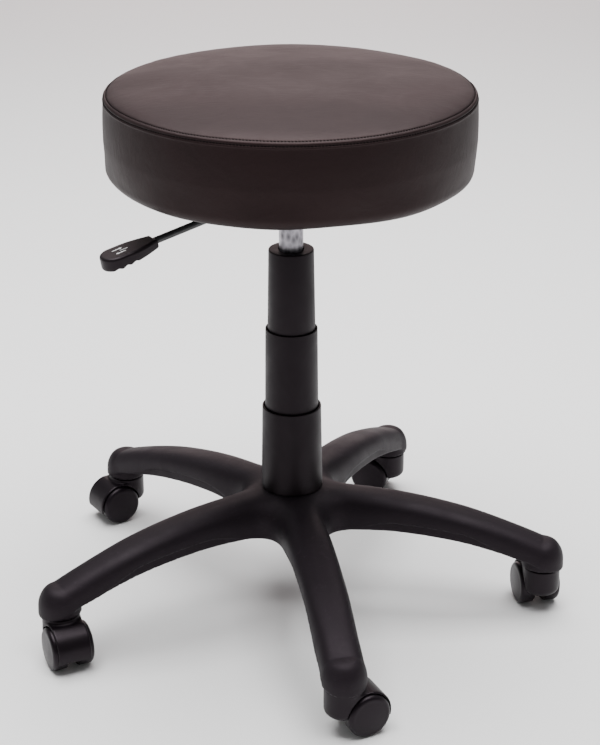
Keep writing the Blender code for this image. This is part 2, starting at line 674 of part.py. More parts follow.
def pocket_section(radius):
    """Section of the hollow under an arm, kept clear of the next arm's hollow near the hub."""
    room = (radius - RIB_T) * math.tan(math.pi / ARM_COUNT) * 0.92
    width = min(half_width(radius) - ARM_WALL - RIM_INSET, room)
    floor = SOCKET_RIM_Z - 0.010
    top = crest(radius) - ARM_WALL - 0.002
    shoulder = crest(radius) - CREASE_DEPTH
    outline = ((width, floor), (width, shoulder), (width * 0.6, top),
               (-width * 0.6, top), (-width, shoulder), (-width, floor))
    return [Vector((radius, y, z)) for y, z in outline]


def pocket_cutter(parent):
    """Hollows under the arms, with a rib left between one pocket and the next."""
    bm = bmesh.new()
    pitch = (POCKET_END - POCKET_START) / POCKETS
    for azimuth in ARM_AZIMUTHS:
        place = Matrix.Rotation(azimuth, 4, "Z")
        for pocket in range(POCKETS):
            near = POCKET_START + pocket * pitch
            far = near + pitch - RIB_T
            sections = [pocket_section(radius) for radius in (near, (near + far) / 2, far)]
            loft(bm, [[place @ point for point in section] for section in sections])
    return add_object("arm_pockets", mesh_from(bm, "arm_pockets"), None, parent, cutter=True)


def stem_spot(index):
    """Centre of one castor's stem on the floor."""
    azimuth = ARM_AZIMUTHS[index]
    return Vector((STEM_CIRCLE_R * math.cos(azimuth), STEM_CIRCLE_R * math.sin(azimuth), 0.0))


def star_base(base):
    """Hub, five arms and five castor sockets as one moulding."""
    hub_low = HUB_R + HUB_EDGE
    hub = [(0.0, BASE_TOP_Z), (HUB_R, BASE_TOP_Z), (hub_low, BASE_TOP_Z - HUB_EDGE),
           (hub_low, HUB_BOTTOM_Z + 3 * HUB_EDGE), (HUB_R - 1.5 * HUB_EDGE, HUB_BOTTOM_Z),
           (0.0, HUB_BOTTOM_Z)]
    star = turned("star_base", hub, "base_nylon", 32, base)
    for i, azimuth in enumerate(ARM_AZIMUTHS):
        boolean(star, arm_solid(f"arm_{i}", azimuth, base), "UNION")
    boolean(star, pocket_cutter(base))
    dome = [(0.0, SOCKET_RISE), (SOCKET_R * 0.55, SOCKET_RISE * 0.93),
            (SOCKET_R * 0.88, SOCKET_RISE * 0.70), (SOCKET_R, SOCKET_RISE * 0.40),
            (SOCKET_R, 0.0), (0.0, 0.0)]
    bores = bmesh.new()
    for i in range(ARM_COUNT):
        spot = stem_spot(i)
        place = Matrix.Translation(spot + Vector((0, 0, SOCKET_RIM_Z)))
        boolean(star, turned(f"socket_{i}", dome, None, 18, base, place, cutter=True), "UNION")
        add_post(bores, STEM_R + GRIP_GAP, STEM_BORE_TOP_Z, SOCKET_RIM_Z - 0.010, spot, 12)
    stem_bores = mesh_from(bores, "stem_bores")
    boolean(star, add_object("stem_bores", stem_bores, None, base, cutter=True))
    bore = disc(TUBE_R + FIT, BASE_TOP_Z + 0.010, HUB_BOTTOM_Z - 0.010)
    boolean(star, turned("hub_bore", bore, None, 28, base, cutter=True))


# ---------------------------------------------------------------- castors
def hood_outline():
    """Side view of the hood: a round fender over the wheels and a foot between them."""
    hood_r = WHEEL_R + WHEEL_ROOM + HOOD_SHELL
    steps = 8
    points = []
    for i in range(steps + 1):
        angle = FENDER_END + (FENDER_START - FENDER_END) * i / steps
        height = min(WHEEL_R + hood_r * math.sin(angle), HOOD_TOP_Z - 0.005)
        points.append((TRAIL + hood_r * math.cos(angle), height))
    return points + [(-HOOD_FRONT, HOOD_TOP_Z - 0.008), (-HOOD_FRONT, BARREL_BOTTOM_Z + 0.002),
                     (0.0040, HOOD_FOOT_Z), (TRAIL + 0.0140, HOOD_FOOT_Z)]


def extruded(name, outline, width, parent):
    """Cutter from a closed outline in XZ carried along Y."""
    bm = bmesh.new()
    loft(bm, [[Vector((x, y, z)) for x, z in outline] for y in (-width / 2, width / 2)])
    return add_object(name, mesh_from(bm, name), None, parent, cutter=True)


def hood(name, swivel):
    """Barrel on the stem's line joined to a fender, with a room for each wheel and the bores."""
    barrel = [(0.0, HOOD_TOP_Z), (BARREL_R, HOOD_TOP_Z), (BARREL_R, BARREL_BOTTOM_Z + 0.010),
              (BARREL_R * 0.92, BARREL_BOTTOM_Z + 0.003), (BARREL_R * 0.75, BARREL_BOTTOM_Z),
              (0.0, BARREL_BOTTOM_Z)]
    shell = turned(f"castor_{name}_hood", barrel, "castor_nylon", 22, swivel)
    boolean(shell, extruded(f"fender_{name}", hood_outline(), HOOD_W, swivel), "UNION")

    room = bmesh.new()
    inner = WEB_W / 2
    outer = WHEEL_OUTER + 0.010
    for side in (-1, 1):
        place = Matrix.Translation((TRAIL, side * (inner + outer) / 2, WHEEL_R))
        bmesh.ops.create_cone(room, cap_ends=True, segments=22, radius1=WHEEL_R + WHEEL_ROOM,
                              radius2=WHEEL_R + WHEEL_ROOM, depth=outer - inner,
                              matrix=place @ Matrix.Rotation(math.pi / 2, 4, "X"))
    rooms = mesh_from(room, "wheel_room")
    boolean(shell, add_object(f"wheel_room_{name}", rooms, None, swivel, cutter=True))

    holes = rod_bmesh(AXLE_R + RUN / 2, WEB_W + 0.010, 12, "Y")
    bmesh.ops.translate(holes, verts=holes.verts, vec=(TRAIL, 0, WHEEL_R))
    add_post(holes, STEM_R + RUN / 2, HOOD_TOP_Z + 0.010, STEM_BOTTOM_Z - RUN, (0.0, 0.0), 12)
    bores = mesh_from(holes, "hood_bores")
    boolean(shell, add_object(f"hood_bores_{name}", bores, None, swivel, cutter=True))


def wheels_and_axle(name, swivel):
    """Axle pressed in the hood's web and a wheel on each end of it."""
    centre = Matrix.Translation((TRAIL, 0, WHEEL_R))
    axle_half = WHEEL_OUTER - AXLE_INSET
    axle = mesh_from(rod_bmesh(AXLE_R, 2 * axle_half, 12, "Y"), "axle")
    add_object(f"castor_{name}_axle", axle, "bright_steel", swivel, centre)
    inner = WEB_W / 2 + RUN
    bore = AXLE_R + RUN / 2
    bore_end = axle_half + RUN
    bevel = WHEEL_ROUND * (1.0 - math.sqrt(0.5))
    outline = [(0.0, WHEEL_OUTER + WHEEL_DOME), (WHEEL_R - WHEEL_ROUND, WHEEL_OUTER),
               (WHEEL_R - bevel, WHEEL_OUTER - bevel), (WHEEL_R, WHEEL_OUTER - WHEEL_ROUND),
               (WHEEL_R, inner), (bore, inner), (bore, bore_end), (0.0, bore_end)]
    for side, label in ((1, "left"), (-1, "right")):
        face = Matrix.Rotation(-side * math.pi / 2, 4, "X")
        turned(f"castor_{name}_wheel_{label}", outline, "castor_nylon", 24, swivel, centre @ face)


def stem(name, base, spot):
    """Castor's stem with its snap ring, held in the base's socket."""
    top = STEM_BORE_TOP_Z - STEM_ROOM
    low = SOCKET_RIM_Z + GRIP_RISE
    grip_r = STEM_R + GRIP_GAP - FIT
    outline = [(0.0, top), (STEM_R, top), (STEM_R, low + GRIP_T), (grip_r, low + GRIP_T),
               (grip_r, low), (STEM_R, low), (STEM_R, STEM_BOTTOM_Z), (0.0, STEM_BOTTOM_Z)]
    turned(f"castor_{name}_stem", outline, "zinc", 12, base, Matrix.Translation(spot))


def castor_pieces(base, index):
    """Hood, axle, two wheels and the stem under one arm's socket."""
    name = CASTOR_NAMES[index]
    spot = stem_spot(index)
    swivel = add_empty(f"swivel_{name}", spot, CASTOR_TRAIL_AZIMUTH[index], base)
    hood(name, swivel)
    wheels_and_axle(name, swivel)
    stem(name, base, spot)


# ---------------------------------------------------------------- assembly
def build():
    """Make every piece, from the base up."""
    base = add_empty("base_frame", (0, 0, 0))
    turner = add_empty("swivel_frame", (0, 0, 0), parent=base)
    seat = add_empty("seat_frame", (0, 0, 0), parent=turner)
    middle = add_empty("middle_cover_frame", (0, 0, 0), parent=base)
    upper = add_empty("upper_cover_frame", (0, 0, 0), parent=base)
    star_base(base)
    column_pieces(base)
    for index in range(ARM_COUNT):
        castor_pieces(base, index)
    cover_pieces(base, middle, upper)
    lift_pieces(seat, turner)
    lever_pieces(plate_pieces(seat))
    seat_pieces(seat)


clear_scene()
PARTS = new_collection(COLLECTION)
CUTTERS = new_collection("cutters")
build()
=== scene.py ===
"""Looks of a rolling stylist stool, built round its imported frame.

The file is laid out as an add-on and is run as a script: it registers its classes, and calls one
operator for each group of pieces.
All sizes are in metres, in the frame's own axes: +Z up, the origin on the floor under the lift.
"""
import json
import math

import bmesh
import bpy
import numpy as np
from bpy.props import FloatProperty, FloatVectorProperty, IntProperty, PointerProperty
from mathutils import Matrix, Vector


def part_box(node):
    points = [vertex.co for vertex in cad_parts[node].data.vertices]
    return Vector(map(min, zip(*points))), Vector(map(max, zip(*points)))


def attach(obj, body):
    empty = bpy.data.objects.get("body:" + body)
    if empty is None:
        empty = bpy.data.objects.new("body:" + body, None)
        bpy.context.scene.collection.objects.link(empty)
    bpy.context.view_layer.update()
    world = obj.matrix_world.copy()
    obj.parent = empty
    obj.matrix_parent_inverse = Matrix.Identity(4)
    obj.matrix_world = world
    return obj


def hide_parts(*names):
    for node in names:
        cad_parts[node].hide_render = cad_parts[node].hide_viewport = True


bl_info = {
    "name": "Rolling stylist stool",
    "version": (1, 0, 0),
    "blender": (4, 5, 0),
    "location": "3D View > Sidebar > Stool",
    "description": "Upholstery, mouldings and metalwork of a rolling stylist stool",
    "category": "Object",
}

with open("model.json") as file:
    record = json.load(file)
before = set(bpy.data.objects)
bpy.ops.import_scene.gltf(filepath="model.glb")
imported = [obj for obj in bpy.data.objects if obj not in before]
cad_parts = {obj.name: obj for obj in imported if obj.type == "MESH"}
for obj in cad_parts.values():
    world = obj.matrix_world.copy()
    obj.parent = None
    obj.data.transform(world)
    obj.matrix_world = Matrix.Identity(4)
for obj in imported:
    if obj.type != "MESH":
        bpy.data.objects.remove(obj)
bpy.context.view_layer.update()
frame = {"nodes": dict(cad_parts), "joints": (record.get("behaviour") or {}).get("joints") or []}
CASTORS = ("front", "right", "back_right", "back_left", "left")
TAU = 2.0 * math.pi


# ---------------------------------------------------------------- the frame's own sizes
def low_high(node):
    """Lowest and highest corner of a node, as arrays."""
    return tuple(np.array(corner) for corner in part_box(node))


def joint(name):
    """The record's entry for one joint."""
    return next(entry for entry in frame["joints"] if entry["name"] == name)


def rim_radius(node, height, reach=0.0012):
    """Largest distance from the lift's axis among a node's points near one height."""
    points = np.array([vertex.co for vertex in frame["nodes"][node].data.vertices])
    near = points[np.abs(points[:, 2] - height) < reach]
    return float(np.hypot(near[:, 0], near[:, 1]).max())


SEAM_Z = float(low_high("seat_top_panel")[0][2])
SEAT_TOP_Z = float(low_high("seat_top_panel")[1][2])
SEAM_R = float(low_high("seat_top_panel")[1][0])
BAND_R = float(low_high("seat_side_band")[1][0])
SEAT_BOTTOM_Z = float(low_high("seat_side_band")[0][2])
BOARD_R = float(low_high("seat_board")[1][0])
BOARD_TOP_Z = float(low_high("seat_board")[1][2])
BASE_TOP_Z = float(low_high("star_base")[1][2])
SOCKET_RIM_Z = float(low_high("star_base")[0][2])
STEMS = [Vector(joint(f"castor_{name}_swivel")["pos_m"]) for name in CASTORS]
STEM_R = float(np.hypot(STEMS[0].x, STEMS[0].y))
FIRST_ARM = math.atan2(STEMS[0].y, STEMS[0].x)
ARMS = len(CASTORS)
WHEEL_R = float(low_high("castor_front_wheel_left")[1][2]) / 2.0
AXLES = [Vector(joint(f"castor_{name}_wheel_left_spin")["pos_m"]) for name in CASTORS]
TRAIL = float(np.hypot(AXLES[0].x - STEMS[0].x, AXLES[0].y - STEMS[0].y))
HOOD_TOP_Z = float(low_high("castor_front_hood")[1][2])

# Thickness of the vinyl, and how many points the crown's outline has down to the seam.
VINYL = 0.0015
CROWN_POINTS = 400


# ---------------------------------------------------------------- settings
class CushionSettings(bpy.types.PropertyGroup):
    """Sizes and colour of the padded seat."""
    colour: FloatVectorProperty(
        name="Vinyl", description="Colour of the vinyl", subtype="COLOR",
        default=(0.0052, 0.0024, 0.0029))
    crown_power: FloatProperty(
        name="Crown", description="How square the crown's shoulder is", default=2.6)
    seam_drop: FloatProperty(
        name="Seam drop", description="Lower row of stitches below the panel's cut edge",
        default=0.0045, unit="LENGTH")
    swell: FloatProperty(
        name="Band swell", description="How far the soft band stands out past the frame's",
        default=0.0020, unit="LENGTH")
    corner: FloatProperty(
        name="Lower edge", description="Rounding where the band turns under the board",
        default=0.013, unit="LENGTH")
    fold: FloatProperty(
        name="Fold", description="Width of the vinyl turned in under the board",
        default=0.043, unit="LENGTH")
    slack: FloatProperty(
        name="Slack", description="How much smaller the cover is cut than it ends up",
        default=0.0032, unit="LENGTH")
    cap: FloatProperty(
        name="Swell", description="Most that the padding may push the cover out",
        default=0.0055, unit="LENGTH")
    strip: FloatProperty(
        name="Seam strip", description="Distance from the seam to its second row of stitches",
        default=0.0060, unit="LENGTH")
    groove: FloatProperty(
        name="Seam depth", description="How deep the stitches pull the cover in",
        default=0.0007, unit="LENGTH")
    stitch: FloatProperty(
        name="Stitch", description="Distance from one stitch to the next",
        default=0.0036, unit="LENGTH")
    thread: FloatProperty(
        name="Thread", description="Radius of the thread", default=0.00055, unit="LENGTH")


class BaseSettings(bpy.types.PropertyGroup):
    """Sizes and colour of the star base."""
    colour: FloatVectorProperty(
        name="Nylon", description="Colour of the base", subtype="COLOR",
        default=(0.0060, 0.0043, 0.0060))
    cell: FloatProperty(
        name="Cell", description="Spacing of the grid that the base is worked out on",
        default=0.00226, unit="LENGTH")
    crest_fall: FloatProperty(
        name="Fall", description="Drop of an arm's top line from the hub to the stem",
        default=0.0568, unit="LENGTH")
    crest_power: FloatProperty(
        name="Sweep", description="Power that the top line falls by", default=2.3)
    crotch: FloatProperty(
        name="Crotch", description="Fillet between one arm and the next",
        default=0.034, unit="LENGTH")
    wall: FloatProperty(
        name="Wall", description="Wall of the hollow arms", default=0.0040, unit="LENGTH")
    lip: FloatProperty(
        name="Lip", description="Height of the set-back band along an arm's lower edge",
        default=0.0125, unit="LENGTH")
    inset: FloatProperty(
        name="Inset", description="How far the band is set back", default=0.0034,
        unit="LENGTH")
    ribs: IntProperty(name="Pockets", description="Pockets under each arm", default=4)


class CoverSettings(bpy.types.PropertyGroup):
    """Sizes and colour of the telescoping covers."""
    colour: FloatVectorProperty(
        name="Covers", description="Colour of the telescoping covers", subtype="COLOR",
        default=(0.0024, 0.0014, 0.0018))
    wall: FloatProperty(
        name="Wall", description="Wall of a cover", default=0.0013, unit="LENGTH")
    edge: FloatProperty(
        name="Edge", description="Rounding of a cover's upper edge",
        default=0.0016, unit="LENGTH")


class LeverSettings(bpy.types.PropertyGroup):
    """Sizes and colours of the release lever."""
    colour: FloatVectorProperty(
        name="Paddle", description="Colour of the paddle", subtype="COLOR",
        default=(0.0040, 0.0028, 0.0034))
    drop: FloatProperty(
        name="Drop", description="Slope of the rod", default=math.radians(10.0),
        subtype="ANGLE")
    root: FloatProperty(
        name="Neck", description="Width of the paddle where the rod enters",
        default=0.018, unit="LENGTH")
    cell: FloatProperty(
        name="Cell", description="Spacing of the grid that the paddle is worked out on",
        default=0.0006, unit="LENGTH")
    notch: FloatProperty(
        name="Notch", description="Depth of the finger notches", default=0.0016, unit="LENGTH")


class CastorSettings(bpy.types.PropertyGroup):
    """Sizes and colour of the castors."""
    colour: FloatVectorProperty(
        name="Castors", description="Colour of the castors", subtype="COLOR",
        default=(0.0030, 0.0020, 0.0030))
    cell: FloatProperty(
        name="Cell", description="Spacing of the grid that a hood is worked out on",
        default=0.00085, unit="LENGTH")
    web: FloatProperty(
        name="Web", description="Thickness of the wall between the wheels",
        default=0.0134, unit="LENGTH")
    shell: FloatProperty(
        name="Shell", description="Thickness of the hood", default=0.0020, unit="LENGTH")
    room: FloatProperty(
        name="Gap", description="Gap between a tread and the hood",
        default=0.0011, unit="LENGTH")


class StageSettings(bpy.types.PropertyGroup):
    """Camera, floor and lights."""
    eye: FloatVectorProperty(
        name="Camera", description="Place of the camera", subtype="TRANSLATION",
        default=(0.0, -1.9552, 1.1503))
    pitch: FloatProperty(
        name="Pitch", description="How far the camera looks down", default=0.4115,
        subtype="ANGLE")
    yaw: FloatProperty(
        name="Yaw", description="How far the camera is turned to its left", default=-0.0068,
        subtype="ANGLE")
    roll: FloatProperty(
        name="Roll", description="How far the camera is rolled", default=-0.0011,
        subtype="ANGLE")
    lens: FloatProperty(name="Lens", description="Focal length in millimetres", default=87.42)
    floor: FloatVectorProperty(
        name="Floor", description="Colour of the floor", subtype="COLOR",
        default=(0.90, 0.90, 0.90))


# ---------------------------------------------------------------- mesh tools
def add_mesh(name, points, faces):
    """Object from an array of points and an array of faces, welded where points coincide."""
    mesh = bpy.data.meshes.new(name)
    mesh.from_pydata(np.asarray(points).reshape(-1, 3).tolist(), [], faces.tolist())
    bm = bmesh.new()
    bm.from_mesh(mesh)
    bmesh.ops.remove_doubles(bm, verts=bm.verts, dist=2e-6)
    bm.to_mesh(mesh)
    bm.free()
    mesh.shade_smooth()
    mesh.update()
    obj = bpy.data.objects.new(name, mesh)
    bpy.context.scene.collection.objects.link(obj)
    return obj


def grid_faces(rows, columns, close_rows=False, close_columns=True):
    """Quads of a grid whose points run row by row, joined round where it is closed."""
    r = np.arange(rows if close_rows else rows - 1)
    c = np.arange(columns if close_columns else columns - 1)
    r, c = np.meshgrid(r, c, indexing="ij")
    r2, c2 = (r + 1) % rows, (c + 1) % columns
    corners = (r * columns + c, r2 * columns + c, r2 * columns + c2, r * columns + c2)
    return np.stack(corners, axis=-1).reshape(-1, 4)


def finish_piece(obj, body, material, replaced=(), sharp=50.0):
    """Give a piece its material and its body, and hide the nodes that it stands for."""
    obj.data.materials.append(material)
    obj.data.set_sharp_from_angle(angle=math.radians(sharp))
    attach(obj, body)
    if replaced:
        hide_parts(*replaced)
    return obj


def rounded(corners, radius, closed=False, steps=5):
    """Outline whose corners are replaced by arcs that touch both sides of the corner.

    Each corner gives points on a quadratic curve between two points set back by the radius,
    or by less than half of the shorter side.
    """
    corners = np.asarray(corners, float)
    radii = np.broadcast_to(np.asarray(radius, float), len(corners))
    out = []
    for i, corner in enumerate(corners):
        if not closed and i in (0, len(corners) - 1):
            out.append(corner[None])
            continue
        before = corners[i - 1] - corner
        after = corners[(i + 1) % len(corners)] - corner
        sizes = np.linalg.norm(before), np.linalg.norm(after)
        back = min(radii[i], 0.45 * min(sizes))
        start, end = corner + before / sizes[0] * back, corner + after / sizes[1] * back
        t = np.linspace(0.0, 1.0, steps)[:, None]
        out.append((1 - t) ** 2 * start + 2 * t * (1 - t) * corner + t ** 2 * end)
    return np.concatenate(out)


def turned_points(profile, segments):
    """Points of a profile of (radius, height) carried round Z: x = r cos a, y = r sin a."""
    angle = np.arange(segments) * TAU / segments
    r, z = profile[:, 0, None], profile[:, 1, None]
    x, y = r * np.cos(angle), r * np.sin(angle)
    return np.stack(np.broadcast_arrays(x, y, z), axis=-1)


def turned(name, corners, radius=0.0005, segments=96):
    """Lathe-turned piece. The outline runs down its outer side and is closed off the axis."""
    closed = min(corner[0] for corner in corners) > 0.0
    profile = rounded(corners, radius, closed)
    points = turned_points(profile, segments)
    return add_mesh(name, points, grid_faces(len(profile), segments, close_rows=closed))


def move(obj, matrix):
    """Put a place into the mesh itself."""
    obj.data.transform(matrix)
    obj.data.update()
    return obj


def soft_noise(seed, x, y, waves=24, low=2.0, high=9.0):
    """Smooth noise of about unit height: a seeded sum of plane waves over two directions."""
    draw = np.random.default_rng(seed)
    angle = draw.uniform(0.0, TAU, waves)
    count = draw.uniform(low, high, waves)
    phase = draw.uniform(0.0, TAU, waves)
    total = np.zeros(np.broadcast(x, y).shape)
    for a, k, p in zip(angle, count, phase):
        total += np.sin(k * (np.cos(a) * x + np.sin(a) * y) + p)
    return total / math.sqrt(waves / 2.0)


# ---------------------------------------------------------------- surfaces of a field
def blend_min(a, b, size):
    """Smaller of two distances, with a fillet of about the given size where they meet."""
    near = np.maximum(size - np.abs(a - b), 0.0) / size
    return np.minimum(a, b) - near * near * size * 0.25


def blend_max(a, b, size):
    """Larger of two distances, with a rounded edge of about the given size."""
    return -blend_min(-a, -b, size)


def field_surface(name, field, low, high, cell):
    """Closed mesh of the points where a field of x, y and z is zero; it is negative inside.

    The field is worked out on a grid. A cell that the surface crosses gets one point, the mean
    of the crossings on its edges, and every crossed edge gets a quad of the four cells round
    it. Two Newton steps down the gradient then put each point on the surface.
    """
    counts = np.ceil((np.asarray(high) - low) / cell).astype(int) + 1
    axes = [start + cell * np.arange(count) for start, count in zip(low, counts)]
    value = field(*np.meshgrid(*axes, indexing="ij", sparse=True))
    inside = value < 0.0
    cells = counts - 1
    weight = np.zeros(int(np.prod(cells)))
    total = np.zeros((len(weight), 3))
    quads = []
    for axis in range(3):
        step = np.eye(3, dtype=int)[axis]
        first = tuple(slice(0, n - s) for n, s in zip(counts, step))
        second = tuple(slice(s, n) for n, s in zip(counts, step))
        edges = np.argwhere(inside[first] != inside[second])
        start, end = value[tuple(edges.T)], value[tuple((edges + step).T)]
        crossing = edges + step * (start / (start - end))[:, None]
        u, v = np.eye(3, dtype=int)[(axis + 1) % 3], np.eye(3, dtype=int)[(axis + 2) % 3]
        ring = np.stack([edges - u - v, edges - v, edges, edges - u], axis=1)
        ids = np.ravel_multi_index(tuple(np.moveaxis(ring, -1, 0)), cells, mode="clip")
        for corner in range(4):
            weight += np.bincount(ids[:, corner], minlength=len(weight))
            for k in range(3):
                total[:, k] += np.bincount(ids[:, corner], crossing[:, k], len(weight))
        quads.append(np.where((start < 0.0)[:, None], ids, ids[:, ::-1]))
    used = weight > 0
    order = np.cumsum(used) - 1
    points = np.asarray(low) + cell * total[used] / weight[used, None]
    small = cell * 0.2
    for _ in range(2):
        here = field(*points.T)
        slope = np.stack([(field(*(points + small * way).T) - field(*(points - small * way).T))
                          / (2 * small) for way in np.eye(3)], axis=-1)
        shift = slope * (here / np.maximum((slope ** 2).sum(-1), 1e-6))[:, None]
        size = np.linalg.norm(shift, axis=-1, keepdims=True)
        points -= shift * np.minimum(1.0, 0.4 * cell / np.maximum(size, 1e-12))
    return add_mesh(name, points, order[np.concatenate(quads)])


# ---------------------------------------------------------------- materials
class Finish:
    """A Principled material under construction, with short calls for its nodes."""

    def __init__(self, name, colour, roughness, metallic=0.0):
        self.material = bpy.data.materials.new(name)
        self.material.use_nodes = True
        self.tree = self.material.node_tree
        self.shader = self.tree.nodes["Principled BSDF"]
        self.shader.inputs["Base Color"].default_value = (*colour, 1.0)
        self.shader.inputs["Roughness"].default_value = roughness
        self.shader.inputs["Metallic"].default_value = metallic
        self.place = self.tree.nodes.new("ShaderNodeTexCoord").outputs["Object"]
        self.height = None

    def set(self, socket, value):
        """Set one of the shader's own numbers or colours."""
        self.shader.inputs[socket].default_value = value

    def stretch(self, scale):
        """Object coordinates stretched by a scale along each axis."""
        node = self.tree.nodes.new("ShaderNodeMapping")
        node.inputs["Scale"].default_value = scale
        self.tree.links.new(self.place, node.inputs["Vector"])
        return node.outputs["Vector"]

    def noise(self, scale, detail=3.0, rough=0.5, twist=0.0, vector=None):
        """Noise of that many features a metre."""
        node = self.tree.nodes.new("ShaderNodeTexNoise")
        node.inputs["Scale"].default_value = scale
        node.inputs["Detail"].default_value = detail
        node.inputs["Roughness"].default_value = rough
        node.inputs["Distortion"].default_value = twist
        self.tree.links.new(vector or self.place, node.inputs["Vector"])
        return node.outputs["Fac"]

    def cells(self, scale, feature="F1", output="Distance", vector=None):
        """Voronoi cells of that many a metre."""
        node = self.tree.nodes.new("ShaderNodeTexVoronoi")
        node.feature = feature
        node.inputs["Scale"].default_value = scale
        self.tree.links.new(vector or self.place, node.inputs["Vector"])
        return node.outputs[output]

    def range(self, value, low, high, to_low, to_high):
        """Map a value from one range to another, clamped."""
        node = self.tree.nodes.new("ShaderNodeMapRange")
        ends = {"From Min": low, "From Max": high, "To Min": to_low, "To Max": to_high}
        for socket, number in ends.items():
            node.inputs[socket].default_value = number
        self.tree.links.new(value, node.inputs["Value"])
        return node.outputs["Result"]

    def math(self, operation, first, second):
        """Join two values; the second may be a number."""
        node = self.tree.nodes.new("ShaderNodeMath")
        node.operation = operation
        self.tree.links.new(first, node.inputs[0])
        if isinstance(second, (int, float)):
            node.inputs[1].default_value = second
        else:
            self.tree.links.new(second, node.inputs[1])
        return node.outputs["Value"]

    def paint(self, factor, stops):
        """Colour the surface from a ramp of (position, colour)."""
        node = self.tree.nodes.new("ShaderNodeValToRGB")
        ramp = node.color_ramp
        while len(ramp.elements) < len(stops):
            ramp.elements.new(0.5)
        for element, (position, colour) in zip(ramp.elements, stops):
            element.position = position
            element.color = (*colour, 1.0)
        self.tree.links.new(factor, node.inputs["Fac"])
        self.tree.links.new(node.outputs["Color"], self.shader.inputs["Base Color"])

    def roughness(self, value):
        """Drive the roughness."""
        self.tree.links.new(value, self.shader.inputs["Roughness"])

    def bump(self, value, depth, strength=1.0):
        """Add relief of that depth in metres on top of the relief already there."""
        node = self.tree.nodes.new("ShaderNodeBump")
        node.inputs["Distance"].default_value = depth
        node.inputs["Strength"].default_value = strength
        self.tree.links.new(value, node.inputs["Height"])
        if self.height:
            self.tree.links.new(self.height, node.inputs["Normal"])
        self.height = node.outputs["Normal"]
        self.tree.links.new(self.height, self.shader.inputs["Normal"])


def tint(colour, factor):
    """Colour made lighter or darker."""
    return tuple(channel * factor for channel in colour)


def vinyl(colour):
    """Upholstery vinyl: leather grain, fine creases, soft sheen with worn patches."""
    finish = Finish("seat_vinyl", colour, 0.46)
    finish.set("Specular IOR Level", 0.26)
    finish.set("Specular Tint", (1.0, 0.70, 0.70, 1.0))
    patches = finish.noise(9.0, 4.0, 0.6, 0.8)
    finish.paint(patches, [(0.30, tint(colour, 0.80)), (0.72, tint(colour, 1.30))])
    finish.roughness(finish.range(finish.noise(14.0, 5.0, 0.6, 1.5), 0.3, 0.7, 0.50, 0.56))
    creases = finish.noise(26.0, 6.0, 0.55, 2.2, finish.stretch((1.0, 2.2, 1.6)))
    finish.bump(finish.noise(7.0, 2.0, 0.5), 0.0006)
    finish.bump(creases, 0.0005, 0.6)
    finish.bump(finish.cells(1100.0), 0.00012, 0.5)
    return finish.material


def moulded(name, colour, roughness, scuffs=0.0, grain=0.00008):
    """Moulded nylon: spark-eroded grain, cloudy patches and light scuffs."""
    finish = Finish(name, colour, roughness)
    finish.set("Specular IOR Level", 0.21)
    finish.set("Specular Tint", (1.0, 0.84, 0.95, 1.0))
    clouds = finish.noise(22.0, 5.0, 0.62, 0.6)
    marks = finish.noise(60.0, 8.0, 0.75, 3.0, finish.stretch((1.0, 1.0, 3.0)))
    worn = finish.range(marks, 0.55, 0.74, 0.0, scuffs)
    shade = finish.math("ADD", finish.math("MULTIPLY", clouds, 0.55), worn)
    finish.paint(shade, [(0.16, tint(colour, 0.82)), (0.42, tint(colour, 1.22)),
                         (1.0, tint(colour, 3.4))])
    finish.roughness(finish.range(clouds, 0.3, 0.7, roughness - 0.06, roughness + 0.08))
    finish.bump(finish.noise(11.0, 2.0), 0.0010, 0.5)
    finish.bump(finish.noise(1700.0, 2.0, 0.6), grain, 0.6)
    return finish.material


def galvanised(name):
    """Dull galvanised steel: spangle, drawn lines and scratches."""
    colour = (0.21, 0.20, 0.22)
    finish = Finish(name, colour, 0.38, 0.85)
    spangle = finish.cells(170.0, output="Distance", vector=finish.stretch((1.0, 1.0, 0.6)))
    finish.paint(spangle, [(0.10, tint(colour, 0.55)), (0.45, tint(colour, 1.2)),
                           (0.85, tint(colour, 2.0))])
    lines = finish.noise(260.0, 5.0, 0.7, 0.4, finish.stretch((1.0, 1.0, 0.12)))
    finish.roughness(finish.range(lines, 0.35, 0.65, 0.30, 0.52))
    finish.bump(lines, 0.00015, 0.5)
    return finish.material


def metal(name, colour, roughness, stretch=(1.0, 1.0, 9.0)):
    """Ground or plated steel: fine tool lines in one direction over a cloudy sheen."""
    finish = Finish(name, colour, roughness, 1.0)
    lines = finish.noise(420.0, 4.0, 0.6, 0.0, finish.stretch(stretch))
    cloud = finish.noise(60.0, 3.0)
    finish.paint(cloud, [(0.3, tint(colour, 0.86)), (0.7, tint(colour, 1.06))])
    finish.roughness(finish.range(lines, 0.3, 0.7, roughness - 0.05, roughness + 0.10))
    finish.bump(lines, 0.00006, 0.5)
    return finish.material


def powder_coat(name):
    """Black powder coat: orange peel and a little dust."""
    colour = (0.018, 0.018, 0.019)
    finish = Finish(name, colour, 0.36)
    dust = finish.noise(90.0, 6.0, 0.7)
    finish.paint(dust, [(0.40, colour), (0.75, tint(colour, 2.2))])
    finish.roughness(finish.range(dust, 0.35, 0.75, 0.30, 0.50))
    finish.bump(finish.noise(650.0, 2.0), 0.00010, 0.6)
    return finish.material


def woven(name, colour):
    """Thin woven cloth: crossing threads and a slight fuzz."""
    finish = Finish(name, colour, 0.92)
    finish.set("Sheen Weight", 0.15)
    warp = finish.noise(900.0, 1.0, 0.5, 0.0, finish.stretch((1.0, 0.08, 0.08)))
    weft = finish.noise(900.0, 1.0, 0.5, 0.0, finish.stretch((0.08, 1.0, 0.08)))
    weave = finish.math("MULTIPLY", warp, weft)
    finish.paint(weave, [(0.12, tint(colour, 0.6)), (0.40, tint(colour, 1.6))])
    finish.bump(weave, 0.0002, 0.7)
    return finish.material


